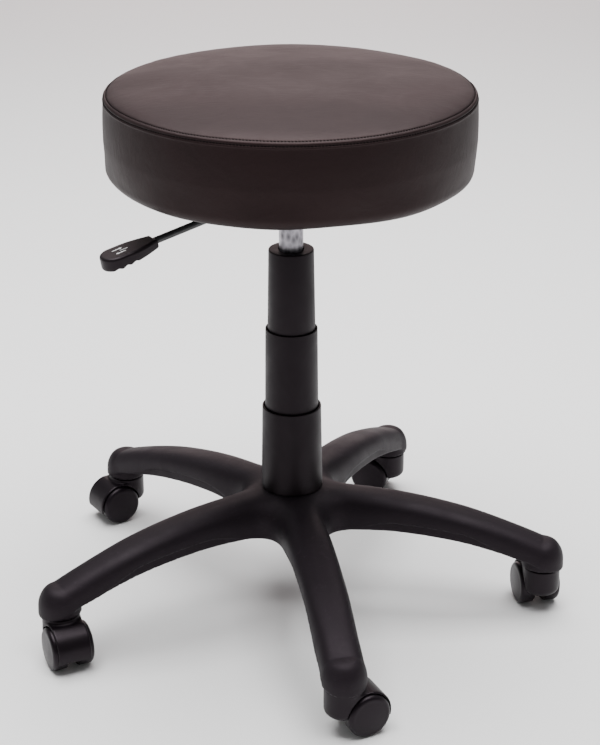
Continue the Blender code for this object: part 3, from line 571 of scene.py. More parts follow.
def plain_plastic(name, colour, roughness):
    """Natural or printed plastic with a faint cloudiness."""
    finish = Finish(name, colour, roughness)
    cloud = finish.noise(120.0, 4.0, 0.6)
    finish.paint(cloud, [(0.3, tint(colour, 0.88)), (0.7, tint(colour, 1.04))])
    finish.bump(finish.noise(800.0, 2.0), 0.00004, 0.5)
    return finish.material


def plywood(name):
    """Rotary-cut plywood: layers through its thickness and long grain on its faces."""
    colour = (0.42, 0.28, 0.16)
    finish = Finish(name, colour, 0.75)
    grain = finish.noise(45.0, 7.0, 0.65, 1.0, finish.stretch((1.0, 0.08, 9.0)))
    finish.paint(grain, [(0.3, tint(colour, 0.65)), (0.7, tint(colour, 1.2))])
    finish.bump(grain, 0.0003, 0.5)
    return finish.material


# ---------------------------------------------------------------- cushion
def crown_outline(settings, lower=0.0, narrow=0.0):
    """Cover's outline from the crown's middle to the fold's edge, as (radius, height).

    Over the top (r / R) ** p + (h / H) ** 2 = 1, where H is the crown's height over the seam.
    The band swells by a sine from the seam to its lower edge, which is a quarter circle.
    """
    turn = np.linspace(0.0, math.pi / 2, CROWN_POINTS)
    seam_z = SEAM_Z - settings.seam_drop
    crown = SEAT_TOP_Z - seam_z - lower
    seam_r = SEAM_R + settings.swell
    r = seam_r * np.sin(turn) ** (2.0 / settings.crown_power)
    top = np.stack([r, seam_z + crown * np.cos(turn)], axis=-1)
    corner = settings.corner
    t = np.linspace(0.0, 1.0, 120)[1:]
    full, waning, drawn_in = 1 / 2.2, 0.6, 0.0022
    swell = (BAND_R - SEAM_R - narrow) * np.sin(np.minimum(t / full, 1.0) * math.pi / 2)
    swell -= drawn_in * np.maximum(t - waning, 0.0) / (1.0 - waning)
    z = seam_z + (SEAT_BOTTOM_Z + corner - seam_z) * t
    band = np.stack([seam_r + swell, z], axis=-1)
    edge = band[-1, 0] - corner
    a = np.linspace(0.0, math.pi / 2, 40)[1:]
    arc = np.stack([edge + corner * np.cos(a), SEAT_BOTTOM_Z + corner * (1 - np.sin(a))], -1)
    fold = np.array([[BAND_R - settings.fold, SEAT_BOTTOM_Z]])
    return np.concatenate([top, band, arc, fold])


def arc_lengths(outline):
    """Length along an outline at each of its points."""
    return np.concatenate([[0.0], np.cumsum(np.linalg.norm(np.diff(outline, axis=0), axis=1))])


def along(outline, lengths):
    """Points of an outline at the given lengths along it."""
    own = arc_lengths(outline)
    return np.stack([np.interp(lengths, own, outline[:, k]) for k in range(2)], axis=-1)


def bell(distance, width):
    """Smooth hump of height 1 over a distance, which fades within about twice its width."""
    return np.exp(-(distance / width) ** 2)


def seam_length(outline):
    """Length along the outline at the seam."""
    return float(arc_lengths(outline)[CROWN_POINTS - 1])


def inside_outline():
    """Rest of the padding's outline: over the fold, round the board and in to the axis."""
    gap = 0.0003
    return np.array([[BOARD_R + gap, SEAT_BOTTOM_Z + VINYL], [BOARD_R + gap, BOARD_TOP_Z + gap],
                     [0.0, BOARD_TOP_Z + gap]])


def swollen(settings, rows=46, columns=180):
    """How far padding under pressure moves the cover, on a grid of length along it and angle.

    The cover starts smaller than it ends up, and slightly uneven. The seam and the fold are
    held, and the cloth solver blows the rest up. Returns the shift of each point, capped.
    """
    start = crown_outline(settings, settings.slack, settings.slack * 0.5)
    lengths = np.linspace(0.0, arc_lengths(start)[-1], rows)
    lengths[np.argmin(np.abs(lengths - seam_length(start)))] = seam_length(start)
    seam_row = int(np.argmin(np.abs(lengths - seam_length(start))))
    profile = along(start, lengths)
    closing = np.linspace([profile[-1, 0], SEAT_BOTTOM_Z], [0.0, SEAT_BOTTOM_Z + 0.01], 8)[1:]
    points = turned_points(np.concatenate([profile, closing]), columns)
    uneven = 0.0004 * soft_noise(7, points[..., 0] * 8.0, points[..., 1] * 8.0 + points[..., 2] * 9.0)
    free = np.ones(len(points))
    free[seam_row] = 0.0
    free[rows - 4:] = 0.0
    points[..., 2] += uneven * free[:, None]
    mesh = bpy.data.meshes.new("cover_cloth")
    mesh.from_pydata(points.reshape(-1, 3).tolist(), [], grid_faces(len(points), columns).tolist())
    obj = bpy.data.objects.new("cover_cloth", mesh)
    bpy.context.scene.collection.objects.link(obj)
    held = obj.vertex_groups.new(name="held")
    fixed = np.flatnonzero(np.repeat(free == 0.0, columns))
    held.add(fixed.tolist(), 1.0, "REPLACE")
    cloth = obj.modifiers.new("Cloth", "CLOTH")
    cloth.settings.use_pressure = True
    cloth.settings.uniform_pressure_force = 4.0
    cloth.settings.vertex_group_mass = "held"
    cloth.settings.effector_weights.gravity = 0.0
    cloth.settings.quality = 4
    scene = bpy.context.scene
    for step in range(1, 21):
        scene.frame_set(step)
    shape = obj.evaluated_get(bpy.context.evaluated_depsgraph_get()).data
    after = np.empty(points.size, np.float32)
    shape.vertices.foreach_get("co", after)
    scene.frame_set(1)
    bpy.data.objects.remove(obj)
    shift = after.reshape(points.shape) - turned_points(np.concatenate([profile, closing]), columns)
    size = np.linalg.norm(shift, axis=-1, keepdims=True)
    shift *= np.minimum(1.0, settings.cap / np.maximum(size, 1e-9))
    for _ in range(8):
        shift = shift / 2 + (np.roll(shift, 1, axis=1) + np.roll(shift, -1, axis=1)) / 4
    return lengths, shift[:rows]


def cushion_points(settings, columns=432):
    """Points of the finished cover and the outline's length at each row.

    The rows are close where the seam is. The swell is read off the coarse grid by its length
    and angle, and the seam and its second row of stitches pull the cover in along the outline's
    normal by a narrow bell of the distance to them.
    """
    start = crown_outline(settings, *(((settings.slack, settings.slack * 0.5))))
    seam = seam_length(start)
    end = arc_lengths(start)[-1]
    stations = (0.0, seam - 0.024, seam - 0.010, seam + 0.004, end - 0.055, end - 0.020, end)
    counts = (61, 13, 29, 25, 17, 5)
    parts = [np.linspace(first, last, count, endpoint=False)
             for first, last, count in zip(stations, stations[1:], counts)]
    rows = np.concatenate([*parts, [end]])
    profile = along(start, rows)
    points = turned_points(profile, columns)
    lengths, shift = swollen(settings)
    angle = np.arange(columns) / columns * shift.shape[1]
    low = np.floor(angle).astype(int)
    share = (angle - low)[None, :, None]
    wide = shift[:, low] * (1 - share) + shift[:, (low + 1) % shift.shape[1]] * share
    near = np.clip(np.searchsorted(lengths, rows) - 1, 0, len(lengths) - 2)
    t = np.clip((rows - lengths[near]) / (lengths[near + 1] - lengths[near]), 0.0, 1.0)
    t = (t * t * (3 - 2 * t))[:, None, None]
    points += wide[near] * (1 - t) + wide[near + 1] * t
    normal = outward(points)
    pinch, cut_edge = 0.0010, 0.0022
    pull = sum(depth * bell(rows - seam - at, pinch)
               for at, depth in ((0.0, settings.groove), (-settings.strip, settings.groove * 0.7)))
    lift = 0.0002 * bell(rows - seam + settings.strip / 2, 0.0016)
    lift += 0.0004 * bell(rows - seam - cut_edge, 0.0009)
    angle = np.arange(columns) * TAU / columns
    pucker = 0.00010 * soft_noise(3, angle * 30.0, 0.0, 14, 0.6, 2.2) + 0.00004 * np.sin(angle * 57.0)
    close = np.exp(-np.abs(rows - seam + 0.003) / 0.011)
    ease = 0.0009 * soft_noise(11, angle * 5.0, 0.0, 10, 0.6, 2.4)
    hem = bell(rows - (end - 0.045), 0.016)
    relief = lift - pull
    points += normal * (relief[:, None] + close[:, None] * pucker + hem[:, None] * ease)[..., None]
    return points, rows, seam


def outward(points):
    """Unit normals of a grid whose rows run down the outer side and whose columns go round."""
    down = np.gradient(points, axis=0)
    around = np.roll(points, -1, axis=1) - np.roll(points, 1, axis=1)
    normal = np.cross(down, around)
    size = np.linalg.norm(normal, axis=-1, keepdims=True)
    normal /= np.maximum(size, 1e-12)
    normal[0] = (0.0, 0.0, 1.0)
    return normal


def beads(centres, ways, ups, length, radius, steps=7, sides=8):
    """Short round-ended threads: a half-circle profile along each way, carried round it."""
    t = np.linspace(0.0, math.pi, steps)
    run, swell = -np.cos(t) * length / 2, np.sin(t) ** 0.6 * radius
    turn = np.arange(sides) * TAU / sides
    across = np.cross(ways, ups)
    points = (centres[:, None, None] + ways[:, None, None] * run[None, :, None, None]
              + swell[None, :, None, None] * (ups[:, None, None] * np.cos(turn)[None, None, :, None]
                                              + across[:, None, None] * np.sin(turn)[None, None, :, None]))
    one = grid_faces(steps, sides)[:, ::-1]
    faces = one[None] + (np.arange(len(centres)) * steps * sides)[:, None, None]
    return points.reshape(-1, 3), faces.reshape(-1, 4)


class STOOL_OT_cushion(bpy.types.Operator):
    """Make the padded seat with its seam, stitches, under cloth and staples"""
    bl_idname = "stool.cushion"
    bl_label = "Cushion"

    def execute(self, context):
        settings = context.scene.stool_cushion
        points, rows, seam = cushion_points(settings)
        lining = turned_points(inside_outline(), points.shape[1])
        under = points[-1:] + (0.0, 0.0, VINYL)
        closed = np.concatenate([points, under, lining])
        cover = add_mesh("seat_cushion", closed, grid_faces(len(closed), points.shape[1]))
        material = vinyl(settings.colour)
        finish_piece(cover, "seat", material,
                     ("seat_top_panel", "seat_side_band", "foam_pad"), 70.0)
        self.stitches(settings, points, rows, seam)
        self.under_cloth(settings)
        return {"FINISHED"}

    def stitches(self, settings, points, rows, seam):
        """Two rows of stitches, set along the seam at equal steps and half sunk in the cover."""
        count = int(round(TAU * SEAM_R / settings.stitch))
        normals = outward(points)
        columns = points.shape[1]
        parts = []
        for offset, shift in ((-settings.strip, 0.0), (0.0, 0.5)):
            row = int(np.argmin(np.abs(rows - seam - offset)))
            at = (np.arange(count) + shift) * columns / count
            low = np.floor(at).astype(int) % columns
            share = (at - np.floor(at))[:, None]
            nxt = (low + 1) % columns
            centre = points[row][low] * (1 - share) + points[row][nxt] * share
            way = points[row][nxt] - points[row][low]
            way /= np.linalg.norm(way, axis=1, keepdims=True)
            up = normals[row][low]
            parts.append(beads(centre + up * settings.thread * 0.5, way, up,
                               settings.stitch * 0.66, settings.thread))
        thread = Finish("seam_thread", tint(settings.colour, 0.5), 0.8)
        thread.set("Specular IOR Level", 0.10)
        twist = thread.noise(1500.0, 2.0, 0.5, 0.0, thread.stretch((1.0, 1.0, 2.0)))
        thread.paint(twist, [(0.3, tint(settings.colour, 0.3)), (0.7, tint(settings.colour, 0.8))])
        thread.bump(twist, 0.0001)
        for name, (places, faces) in zip(("seam_stitches_upper", "seam_stitches_lower"), parts):
            obj = add_mesh(name, places, faces)
            finish_piece(obj, "seat", thread.material)

    def under_cloth(self, settings):
        """Thin cloth stretched under the board, lapped over the fold, with its staples.

        Its lower side sags by a sine between the plate and the fold and is drawn up into small
        puckers towards the staples; the upper side is the same a cloth's thickness above.
        """
        low, high = low_high("dust_cover")
        inner = BAND_R - settings.fold
        thick, plate_r, segments, count = 0.0009, 0.112, 240, 32
        level = high[2] - thick
        radius = np.concatenate([np.linspace(0.0, inner - 0.005, 40),
                                 np.linspace(inner - 0.002, high[0], 10)])
        lap = np.clip((radius - (inner - 0.005)) / 0.004, 0.0, 1.0)
        height = level + (low[2] - level) * lap * lap * (3 - 2 * lap)
        sag = 0.0022 * np.sin(np.clip((radius - plate_r) / (inner - 0.118), 0.0, 1.0) * math.pi)
        lower = turned_points(np.stack([radius, height - sag], -1), segments)
        angle = np.arange(segments) * TAU / segments
        near = np.exp(-np.abs(radius - inner - 0.006) / 0.02)[:, None]
        pucker = 0.00035 * np.cos(angle * count) * near
        lower[..., 2] += pucker * (radius > plate_r)[:, None]
        closed = np.concatenate([lower + (0.0, 0.0, thick), lower[::-1]])
        obj = add_mesh("under_cloth", closed, grid_faces(len(closed), segments))
        cloth = woven("black_under_cloth", (0.020, 0.020, 0.021))
        finish_piece(obj, "seat", cloth, ("dust_cover",), 80.0)
        turn = (np.arange(count) + 0.5) * TAU / count
        out = np.stack([np.cos(turn), np.sin(turn), np.zeros(count)], -1)
        way = np.stack([-np.sin(turn), np.cos(turn), np.zeros(count)], -1)
        centre = out * (inner + 0.009) + (0.0, 0.0, low[2] - 0.0001)
        down = np.tile((0.0, 0.0, -1.0), (count, 1))
        places, faces = beads(centre, way, down, 0.010, 0.00055)
        finish_piece(add_mesh("cloth_staples", places, faces), "seat",
                     metal("staple_steel", (0.55, 0.55, 0.56), 0.35))


# ---------------------------------------------------------------- covers and lift
class STOOL_OT_covers(bpy.types.Operator):
    """Make the three telescoping covers"""
    bl_idname = "stool.covers"
    bl_label = "Covers"

    def execute(self, context):
        settings = context.scene.stool_covers
        material = moulded("cover_plastic", settings.colour, 0.50, 0.20)
        for node, body in (("cover_upper", "upper_cover"), ("cover_middle", "middle_cover"),
                           ("cover_lower", "base")):
            low, high = low_high(node)
            wall = settings.wall
            top_r = rim_radius(node, high[2] - 0.001, 0.0005)
            foot_r = rim_radius(node, low[2])
            hole = self.hole(node, high[2])
            corners = [(top_r, high[2]), (foot_r, low[2]), (foot_r - wall, low[2]),
                       (top_r - wall, high[2] - wall), (hole, high[2] - wall), (hole, high[2])]
            radii = [settings.edge, wall / 3, wall / 3, wall / 2, wall / 3, wall / 3]
            obj = turned(f"{node}_shell", corners, radii, 128)
            finish_piece(obj, body, material, (node,), 60.0)
        return {"FINISHED"}

    def hole(self, node, height):
        """Radius of the hole in a cover's top."""
        points = np.array([vertex.co for vertex in frame["nodes"][node].data.vertices])
        near = points[np.abs(points[:, 2] - height) < 0.0003]
        return float(np.hypot(near[:, 0], near[:, 1]).min())


class STOOL_OT_lift(bpy.types.Operator):
    """Make the lift's cylinder, tube and the pieces at its foot, and finish what is inside"""
    bl_idname = "stool.lift"
    bl_label = "Gas lift"

    def execute(self, context):
        steel = galvanised("lift_steel")
        low, high = low_high("lift_cylinder")
        cone_low, cone_high = low_high("cone_socket")
        body_r = high[0]
        top_r = rim_radius("lift_cylinder", high[2], 0.0003)
        pin_r = 0.0040
        bore = body_r - 0.0015
        corners = [(top_r, high[2]), (body_r, cone_low[2]), (body_r, low[2]), (bore, low[2]),
                   (bore, high[2] - 0.006), (pin_r, high[2] - 0.006), (pin_r, high[2])]
        obj = turned("lift_cylinder_steel", corners, 0.0008, 96)
        finish_piece(obj, "seat", steel, ("lift_cylinder",))
        coat = powder_coat("black_coat")
        outer = cone_high[0]
        corners = [(outer, cone_high[2]), (outer, cone_low[2]), (body_r + 0.0003, cone_low[2]),
                   (rim_radius("lift_cylinder", cone_high[2], 0.003) + 0.0003, cone_high[2])]
        obj = turned("cone_socket_steel", corners, 0.0008, 96)
        finish_piece(obj, "seat", coat, ("cone_socket",))
        zinc = metal("zinc_plate", (0.50, 0.50, 0.51), 0.34)
        bright = metal("ground_steel", (0.62, 0.62, 0.64), 0.24)
        self.ring("column_tube", "base", "black_steel", coat, 0.0232, 0.0008)
        self.ring("column_end_plate", "base", "zinc", zinc, 0.0055, 0.0004)
        self.ring("retaining_clip", "piston", "zinc", zinc, 0.0053, 0.0003)
        self.ring("piston_rod", "piston", "bright_steel", bright, 0.0, 0.0012)
        natural = plain_plastic("natural_plastic", (0.66, 0.65, 0.60), 0.5)
        rubber = Finish("bumper_rubber", (0.012, 0.012, 0.012), 0.85)
        rubber.bump(rubber.noise(500.0), 0.0002)
        for names, material in (
                (("valve_body", "release_pin", "bearing_upper_race", "bearing_lower_race",
                  "bearing_ball_cage"), bright),
                (("guide_sleeve", "rod_guide", "piston_head", "lever_bush"), natural),
                (("rubber_bumper",), rubber.material),
                (("seat_board",), plywood("board_ply"))):
            for name in names:
                dress(name, material)
        for name in CASTORS:
            dress(f"castor_{name}_stem", zinc)
            dress(f"castor_{name}_axle", bright)
        return {"FINISHED"}

    def ring(self, node, body, slot, material, bore, edge):
        """Plain ring or rod with a node's own outer size, and rounded edges."""
        low, high = low_high(node)
        corners = [(high[0], high[2]), (high[0], low[2]), (bore, low[2]), (bore, high[2])]
        if not bore:
            corners = [corners[3], *corners[:3]]
        finish_piece(turned(f"{node}_turned", corners, edge, 64), body, material, (node,))


def dress(node, material, bevel=0.0):
    """Give a node of the frame its finish, and round its edges where asked."""
    obj = frame["nodes"][node]
    obj.data.materials.clear()
    obj.data.materials.append(material)
    if bevel:
        weld = obj.modifiers.new("Weld", "WELD")
        weld.merge_threshold = 0.00002
        edges = obj.modifiers.new("Bevel", "BEVEL")
        edges.width = bevel
        edges.segments = 2
        edges.limit_method = "ANGLE"
        edges.angle_limit = math.radians(35.0)
        edges.harden_normals = True


# ---------------------------------------------------------------- plate, bolts and lever
def lever_place(settings):
    """Matrix of the lever's own axes: X along the rod, away from the lift, Z up."""
    pivot = joint("lever_pull")
    azimuth = math.atan2(pivot["axis"][0], -pivot["axis"][1])
    return (Matrix.Translation(pivot["pos_m"]) @ Matrix.Rotation(azimuth, 4, "Z")
            @ Matrix.Rotation(settings.drop, 4, "Y"))


def local_box(node, place):
    """Lowest and highest corner of a node in turned axes."""
    points = np.array([vertex.co for vertex in frame["nodes"][node].data.vertices])
    inverse = np.array(place.inverted())
    points = points @ inverse[:3, :3].T + inverse[:3, 3]
    return points.min(0), points.max(0)


class STOOL_OT_plate(bpy.types.Operator):
    """Finish the seat plate and its bracket, and make the bolts"""
    bl_idname = "stool.plate"
    bl_label = "Seat plate"

    def execute(self, context):
        coat = powder_coat("plate_coat")
        dress("seat_plate", coat, 0.0006)
        dress("lever_bracket", coat, 0.0007)
        zinc = metal("bolt_zinc", (0.50, 0.50, 0.51), 0.32, (1.0, 1.0, 1.0))
        for number in range(1, 5):
            node = f"plate_bolt_{number}"
            obj = self.bolt(f"hex_bolt_{number}", node)
            finish_piece(obj, "seat", zinc, (node,), 30.0)
        return {"FINISHED"}

    def bolt(self, name, node, segments=48):
        """Flanged bolt: a turned outline whose head rows follow a hexagon, r = a / cos(angle)."""
        low, high = low_high(node)
        middle = (low + high) / 2
        flange, shank, head = 0.0085, 0.0030, 0.0058
        top = high[2] - 0.014
        rows = np.array([
            (0.0, high[2], 0), (shank * 0.8, high[2], 0), (shank, high[2] - 0.0006, 0),
            (shank, top, 0), (flange - 0.0003, top, 0), (flange, top - 0.0004, 0),
            (flange, top - 0.0009, 0), (flange - 0.0012, top - 0.0013, 0),
            (head, top - 0.0014, 1), (head, low[2] + 0.0008, 1), (head * 0.92, low[2], 0.4),
            (head * 0.6, low[2], 0), (0.0, low[2], 0)])
        angle = np.arange(segments) * TAU / segments
        hexagon = 0.88 / np.cos((angle + math.pi / 6) % (math.pi / 3) - math.pi / 6)
        r = rows[:, :1] * (1 + rows[:, 2:] * (hexagon - 1))
        points = np.stack(np.broadcast_arrays(middle[0] + r * np.cos(angle),
                                              middle[1] + r * np.sin(angle), rows[:, 1:2]), -1)
        return add_mesh(name, points, grid_faces(len(rows), segments))


class STOOL_OT_lever(bpy.types.Operator):
    """Make the release lever's rod and paddle, with the mark on the paddle"""
    bl_idname = "stool.lever"
    bl_label = "Lever"

    def execute(self, context):
        settings = context.scene.stool_lever
        place = lever_place(settings)
        low, high = local_box("lever_rod", place)
        radius = (high[2] - low[2]) / 2
        corners = [(0.0, high[0]), (radius, high[0]), (radius, low[0]), (0.0, low[0])]
        rod = turned("lever_rod_steel", corners, 0.0010, 48)
        move(rod, place @ Matrix.Rotation(math.pi / 2, 4, "Y"))
        finish_piece(rod, "lever", powder_coat("rod_coat"), ("lever_rod",))

        low, high = local_box("lever_paddle", place)
        paddle = field_surface("lever_paddle_grip", self.paddle_field(settings, low, high, radius),
                               low - 0.002, high + 0.002, settings.cell)
        move(paddle, place)
        finish_piece(paddle, "lever",
                     moulded("paddle_nylon", settings.colour, 0.38, 0.35), ("lever_paddle",))
        mark = self.mark(high)
        move(mark, place)
        finish_piece(mark, "lever",
                     plain_plastic("white_print", (0.75, 0.75, 0.75), 0.55))
        return {"FINISHED"}

    def paddle_field(self, settings, low, high, rod_r):
        """Distance-like field of the paddle.

        Its plan widens from the neck to a round end, its top is flat, and its underside falls
        towards the end and is scalloped by a cosine. A bore takes the rod.
        """
        length = high[0] - low[0]
        wide = high[1]
        tip = high[0] - wide

        def field(x, y, z):
            t = np.clip((x - low[0]) / length, 0.0, 1.0)
            grow = np.sin(np.minimum(t / 0.55, 1.0) * math.pi / 2)
            half = settings.root / 2 + (wide - settings.root / 2) * grow
            beyond = np.maximum(x - tip, 0.0)
            plan = np.maximum(np.sqrt(beyond ** 2 + y ** 2 + 1e-12) - half, low[0] - x)
            thick = 0.0110 + (high[2] - low[2] - 0.0110) * t
            wave = 0.5 - 0.5 * np.cos(TAU * (t - 0.42) / 0.16)
            bite = settings.notch * wave * ((t > 0.42) & (t < 0.90))
            under = high[2] - thick + bite
            body = blend_max(plan, blend_max(z - high[2], under - z, 0.002), 0.0035)
            bore = np.sqrt(y ** 2 + z ** 2 + 1e-12) - (rod_r + 0.0003)
            bore = np.maximum(bore, x - (high[0] - 0.030))
            return blend_max(body, -bore, 0.0006)

        return field

    def mark(self, high):
        """Raised print: an upward and a downward arrow side by side, and a bar between them."""
        tip = high[0] - high[1]
        outline = np.array([(0.0062, 0.0), (0.0030, 0.0023), (0.0030, 0.0007), (-0.0060, 0.0007),
                            (-0.0060, -0.0007), (0.0030, -0.0007), (0.0030, -0.0023)])
        bar = np.array([(0.0110, 0.0004), (0.0010, 0.0004), (0.0010, -0.0004), (0.0110, -0.0004)])
        points, faces = [], []
        for shape, flip, at in ((outline, 1, 0.0048), (outline, -1, -0.0048), (bar, -1, 0.0)):
            first = sum(len(part) for part in points)
            count = len(shape)
            flat = np.stack([tip - 0.006 + flip * shape[:, 0], at + flip * shape[:, 1],
                             np.full(count, high[2] + 0.00012)], -1)
            points += [flat, flat - (0.0, 0.0, 0.0006)]
            faces.append([first + k for k in reversed(range(count))])
            faces.append([first + count + k for k in range(count)])
            faces += [[first + k, first + (k + 1) % count, first + count + (k + 1) % count,
                       first + count + k] for k in range(count)]
        mesh = bpy.data.meshes.new("paddle_mark")
        mesh.from_pydata(np.concatenate(points).tolist(), [], faces)
        bm = bmesh.new()
        bm.from_mesh(mesh)
        bmesh.ops.recalc_face_normals(bm, faces=bm.faces)
        bm.to_mesh(mesh)
        bm.free()
        obj = bpy.data.objects.new("paddle_mark", mesh)
        bpy.context.scene.collection.objects.link(obj)
        return obj


# ---------------------------------------------------------------- star base
def arm_sizes(x):
    """Half width, lower edge and share of the set-back band at a distance along an arm."""
    root_half, taper, flare, flare_end = 0.0280, 0.0036, 0.020, 0.085
    level_end, root_rise, drop = 0.090, 0.0450, 0.0377
    lip_start, lip_end, ease = 0.060, 0.275, 0.070
    share = np.clip(x / STEM_R, 0.0, 1.0)
    half = root_half - taper * share + flare * np.maximum(0.0, 1.0 - x / flare_end) ** 2
    fall = np.maximum(0.0, x - level_end) / (STEM_R - level_end)
    low = SOCKET_RIM_Z + root_rise - drop * fall ** 2
    rise = np.clip((x - lip_start) / ease, 0.0, 1.0) * np.clip((lip_end - x) / ease, 0.0, 1.0)
    return half, low, rise * rise * (3 - 2 * rise)


def arms_field(settings, radius, ax, ay, bx, by, z):
    """The arms, hollow underneath, from the places along and across the two nearest of them.

    In plan both arms' distances are joined with a fillet, and an arm ends in a half circle
    round its stem. Above the lower band the section is s ** 3 + (h / d) ** 3 = 1, where s is 1
    plus the plan's distance over the half width, and d the depth from the top line to the band.
    The band is set back and closes the bottom. The hollow follows the same section a wall's
    thickness inside, and ribs cross it.
    """
    half, low, lip = arm_sizes(ax)
    side = np.sqrt(np.maximum(ax - STEM_R, 0.0) ** 2 + ay * ay + 1e-12)
    other = np.abs(by) - arm_sizes(bx)[0]
    plan = blend_min(side - half, other, settings.crotch)
    top = BASE_TOP_Z - settings.crest_fall * np.minimum(radius / STEM_R, 1.0) ** settings.crest_power
    band = low + settings.lip * lip
    depth = top - band
    up = np.maximum(z - band, 0.0) / depth
    shell = (np.maximum(1.0 + plan / half, 0.0) ** 3 + up ** 3) ** (1 / 3) - 1.0
    shell = blend_max(shell * 0.022, band - z, 0.0014)
    core = np.maximum(plan + settings.inset * lip, z - (band + 0.004))
    core = blend_max(core, low - z, 0.0022)
    outer = blend_min(shell, core, 0.0012)

    start, end = 0.046, STEM_R - 0.027
    pitch = (end - start) / settings.ribs
    step = np.mod(ax - start, pitch)
    rib = 0.003
    ribs = np.maximum(-step, step - pitch + rib)
    pocket = np.maximum(np.maximum(start - ax, ax - end), ribs)
    room = (np.maximum(ax, 0.001) - 0.004) * math.tan(math.pi / ARMS) * 0.88
    inner = np.minimum(half - settings.inset * lip - settings.wall, room)
    height = np.maximum(z - band, 0.0) / (depth - settings.wall)
    hollow = ((np.abs(ay) / inner) ** 3 + height ** 3) ** (1 / 3) - 1.0
    hollow = np.maximum(hollow * 0.018, pocket)
    return blend_max(outer, -hollow, 0.0016)


def base_field(settings):
    """Star base: the arms, a hub round the lift's tube, and a bored socket for each stem."""
    hub_r, hub_foot, tube_r = 0.0425, 0.034, 0.0253
    socket_r, shoulder, dome, power = 0.0244, 0.0070, 0.0200, 2.6
    stem_r, stem_end = 0.0066, 0.0295

    def field(x, y, z):
        radius = np.sqrt(x * x + y * y + 1e-12)
        fold = TAU / ARMS
        turn = np.abs(np.mod(np.arctan2(y, x) - FIRST_ARM + fold / 2, fold) - fold / 2)
        ax, ay = radius * np.cos(turn), radius * np.sin(turn)
        bx, by = radius * np.cos(fold - turn), radius * np.sin(fold - turn)
        star = arms_field(settings, radius, ax, ay, bx, by, z)

        hub = np.maximum(radius - hub_r, (SOCKET_RIM_Z + hub_foot) - z)
        hub = blend_max(hub, z - BASE_TOP_Z + 0.0006, 0.006)
        star = np.minimum(star, hub)

        reach = np.sqrt((ax - STEM_R) ** 2 + ay ** 2 + 1e-12)
        crown = np.maximum(z - (SOCKET_RIM_Z + shoulder), 0.0) / dome
        socket = ((reach / socket_r) ** power + crown ** power) ** (1 / power) - 1.0
        socket = blend_max(socket * 0.022, SOCKET_RIM_Z - z, 0.0012)
        star = blend_min(star, socket, 0.004)
        stem = np.maximum(reach - stem_r, z - (SOCKET_RIM_Z + stem_end))
        star = blend_max(star, -stem, 0.0008)
        star = blend_max(star, tube_r - radius, 0.0010)
        return np.maximum(star, z - BASE_TOP_Z)

    return field


class STOOL_OT_base(bpy.types.Operator):
    """Make the star base"""
    bl_idname = "stool.base"
    bl_label = "Star base"

    def execute(self, context):
        settings = context.scene.stool_base
        low, high = low_high("star_base")
        margin = 2 * settings.cell
        obj = field_surface("star_base_moulding", base_field(settings), low - margin,
                            high + margin, settings.cell)
        material = moulded("base_nylon", settings.colour, 0.57, 0.75)
        finish_piece(obj, "base", material, ("star_base",), 60.0)
        return {"FINISHED"}


# ---------------------------------------------------------------- castors
def hood_field(settings):
    """Castor's hood in its own axes: x the way that the castor trails, y along the axle.

    A barrel round the stem and a fender round the axle are joined by a fillet; a web between
    the wheels reaches down past the axle, and each wheel's room is cut out of the fender.
    """
    hood_r = WHEEL_R + settings.room + settings.shell
    top = HOOD_TOP_Z
    barrel_r, barrel_level, sunk, power = 0.0220, 0.0330, 0.0110, 2.6
    half_width, web_r, web_foot = 0.0198, 0.0190, 0.0120
    bore_r, bore_foot = 0.0058, 0.0415
    lean = math.radians(15.0)

    def field(x, y, z):
        side = np.abs(y)
        stem = np.sqrt(x * x + y * y + 1e-12)
        sink = np.maximum(barrel_level - z, 0.0) / sunk
        barrel = ((stem / barrel_r) ** power + sink ** power) ** (1 / power) - 1.0
        barrel = blend_max(barrel * 0.016, z - top, 0.0016)
        ax, az = x - TRAIL, z - WHEEL_R
        reach = np.sqrt(ax * ax + az * az + 1e-12)
        fender = np.maximum(reach - hood_r, z - (top - 0.005))
        back = -(az * math.cos(lean) + ax * math.sin(lean))
        fender = np.maximum(fender, np.where(ax > 0.0, back, np.maximum(-x - 0.003, 0.026 - z)))
        fender = blend_max(fender, side - half_width, 0.0022)
        body = blend_min(barrel, fender, 0.0040)
        room = np.maximum(reach - (WHEEL_R + settings.room), settings.web / 2 - side)
        body = blend_max(body, -room, 0.0009)
        web = np.maximum(side - settings.web / 2, reach - web_r)
        web = np.maximum(web, web_foot - z)
        body = blend_min(body, web, 0.0012)
        bore = np.maximum(stem - bore_r, bore_foot - z)
        return blend_max(body, -bore, 0.0006)

    return field


def castor_place(index):
    """Matrix of one castor's own axes."""
    way = (AXLES[index] - STEMS[index]).xy
    turn = math.atan2(way.y, way.x)
    spot = (STEMS[index].x, STEMS[index].y, 0.0)
    return Matrix.Translation(spot) @ Matrix.Rotation(turn, 4, "Z")


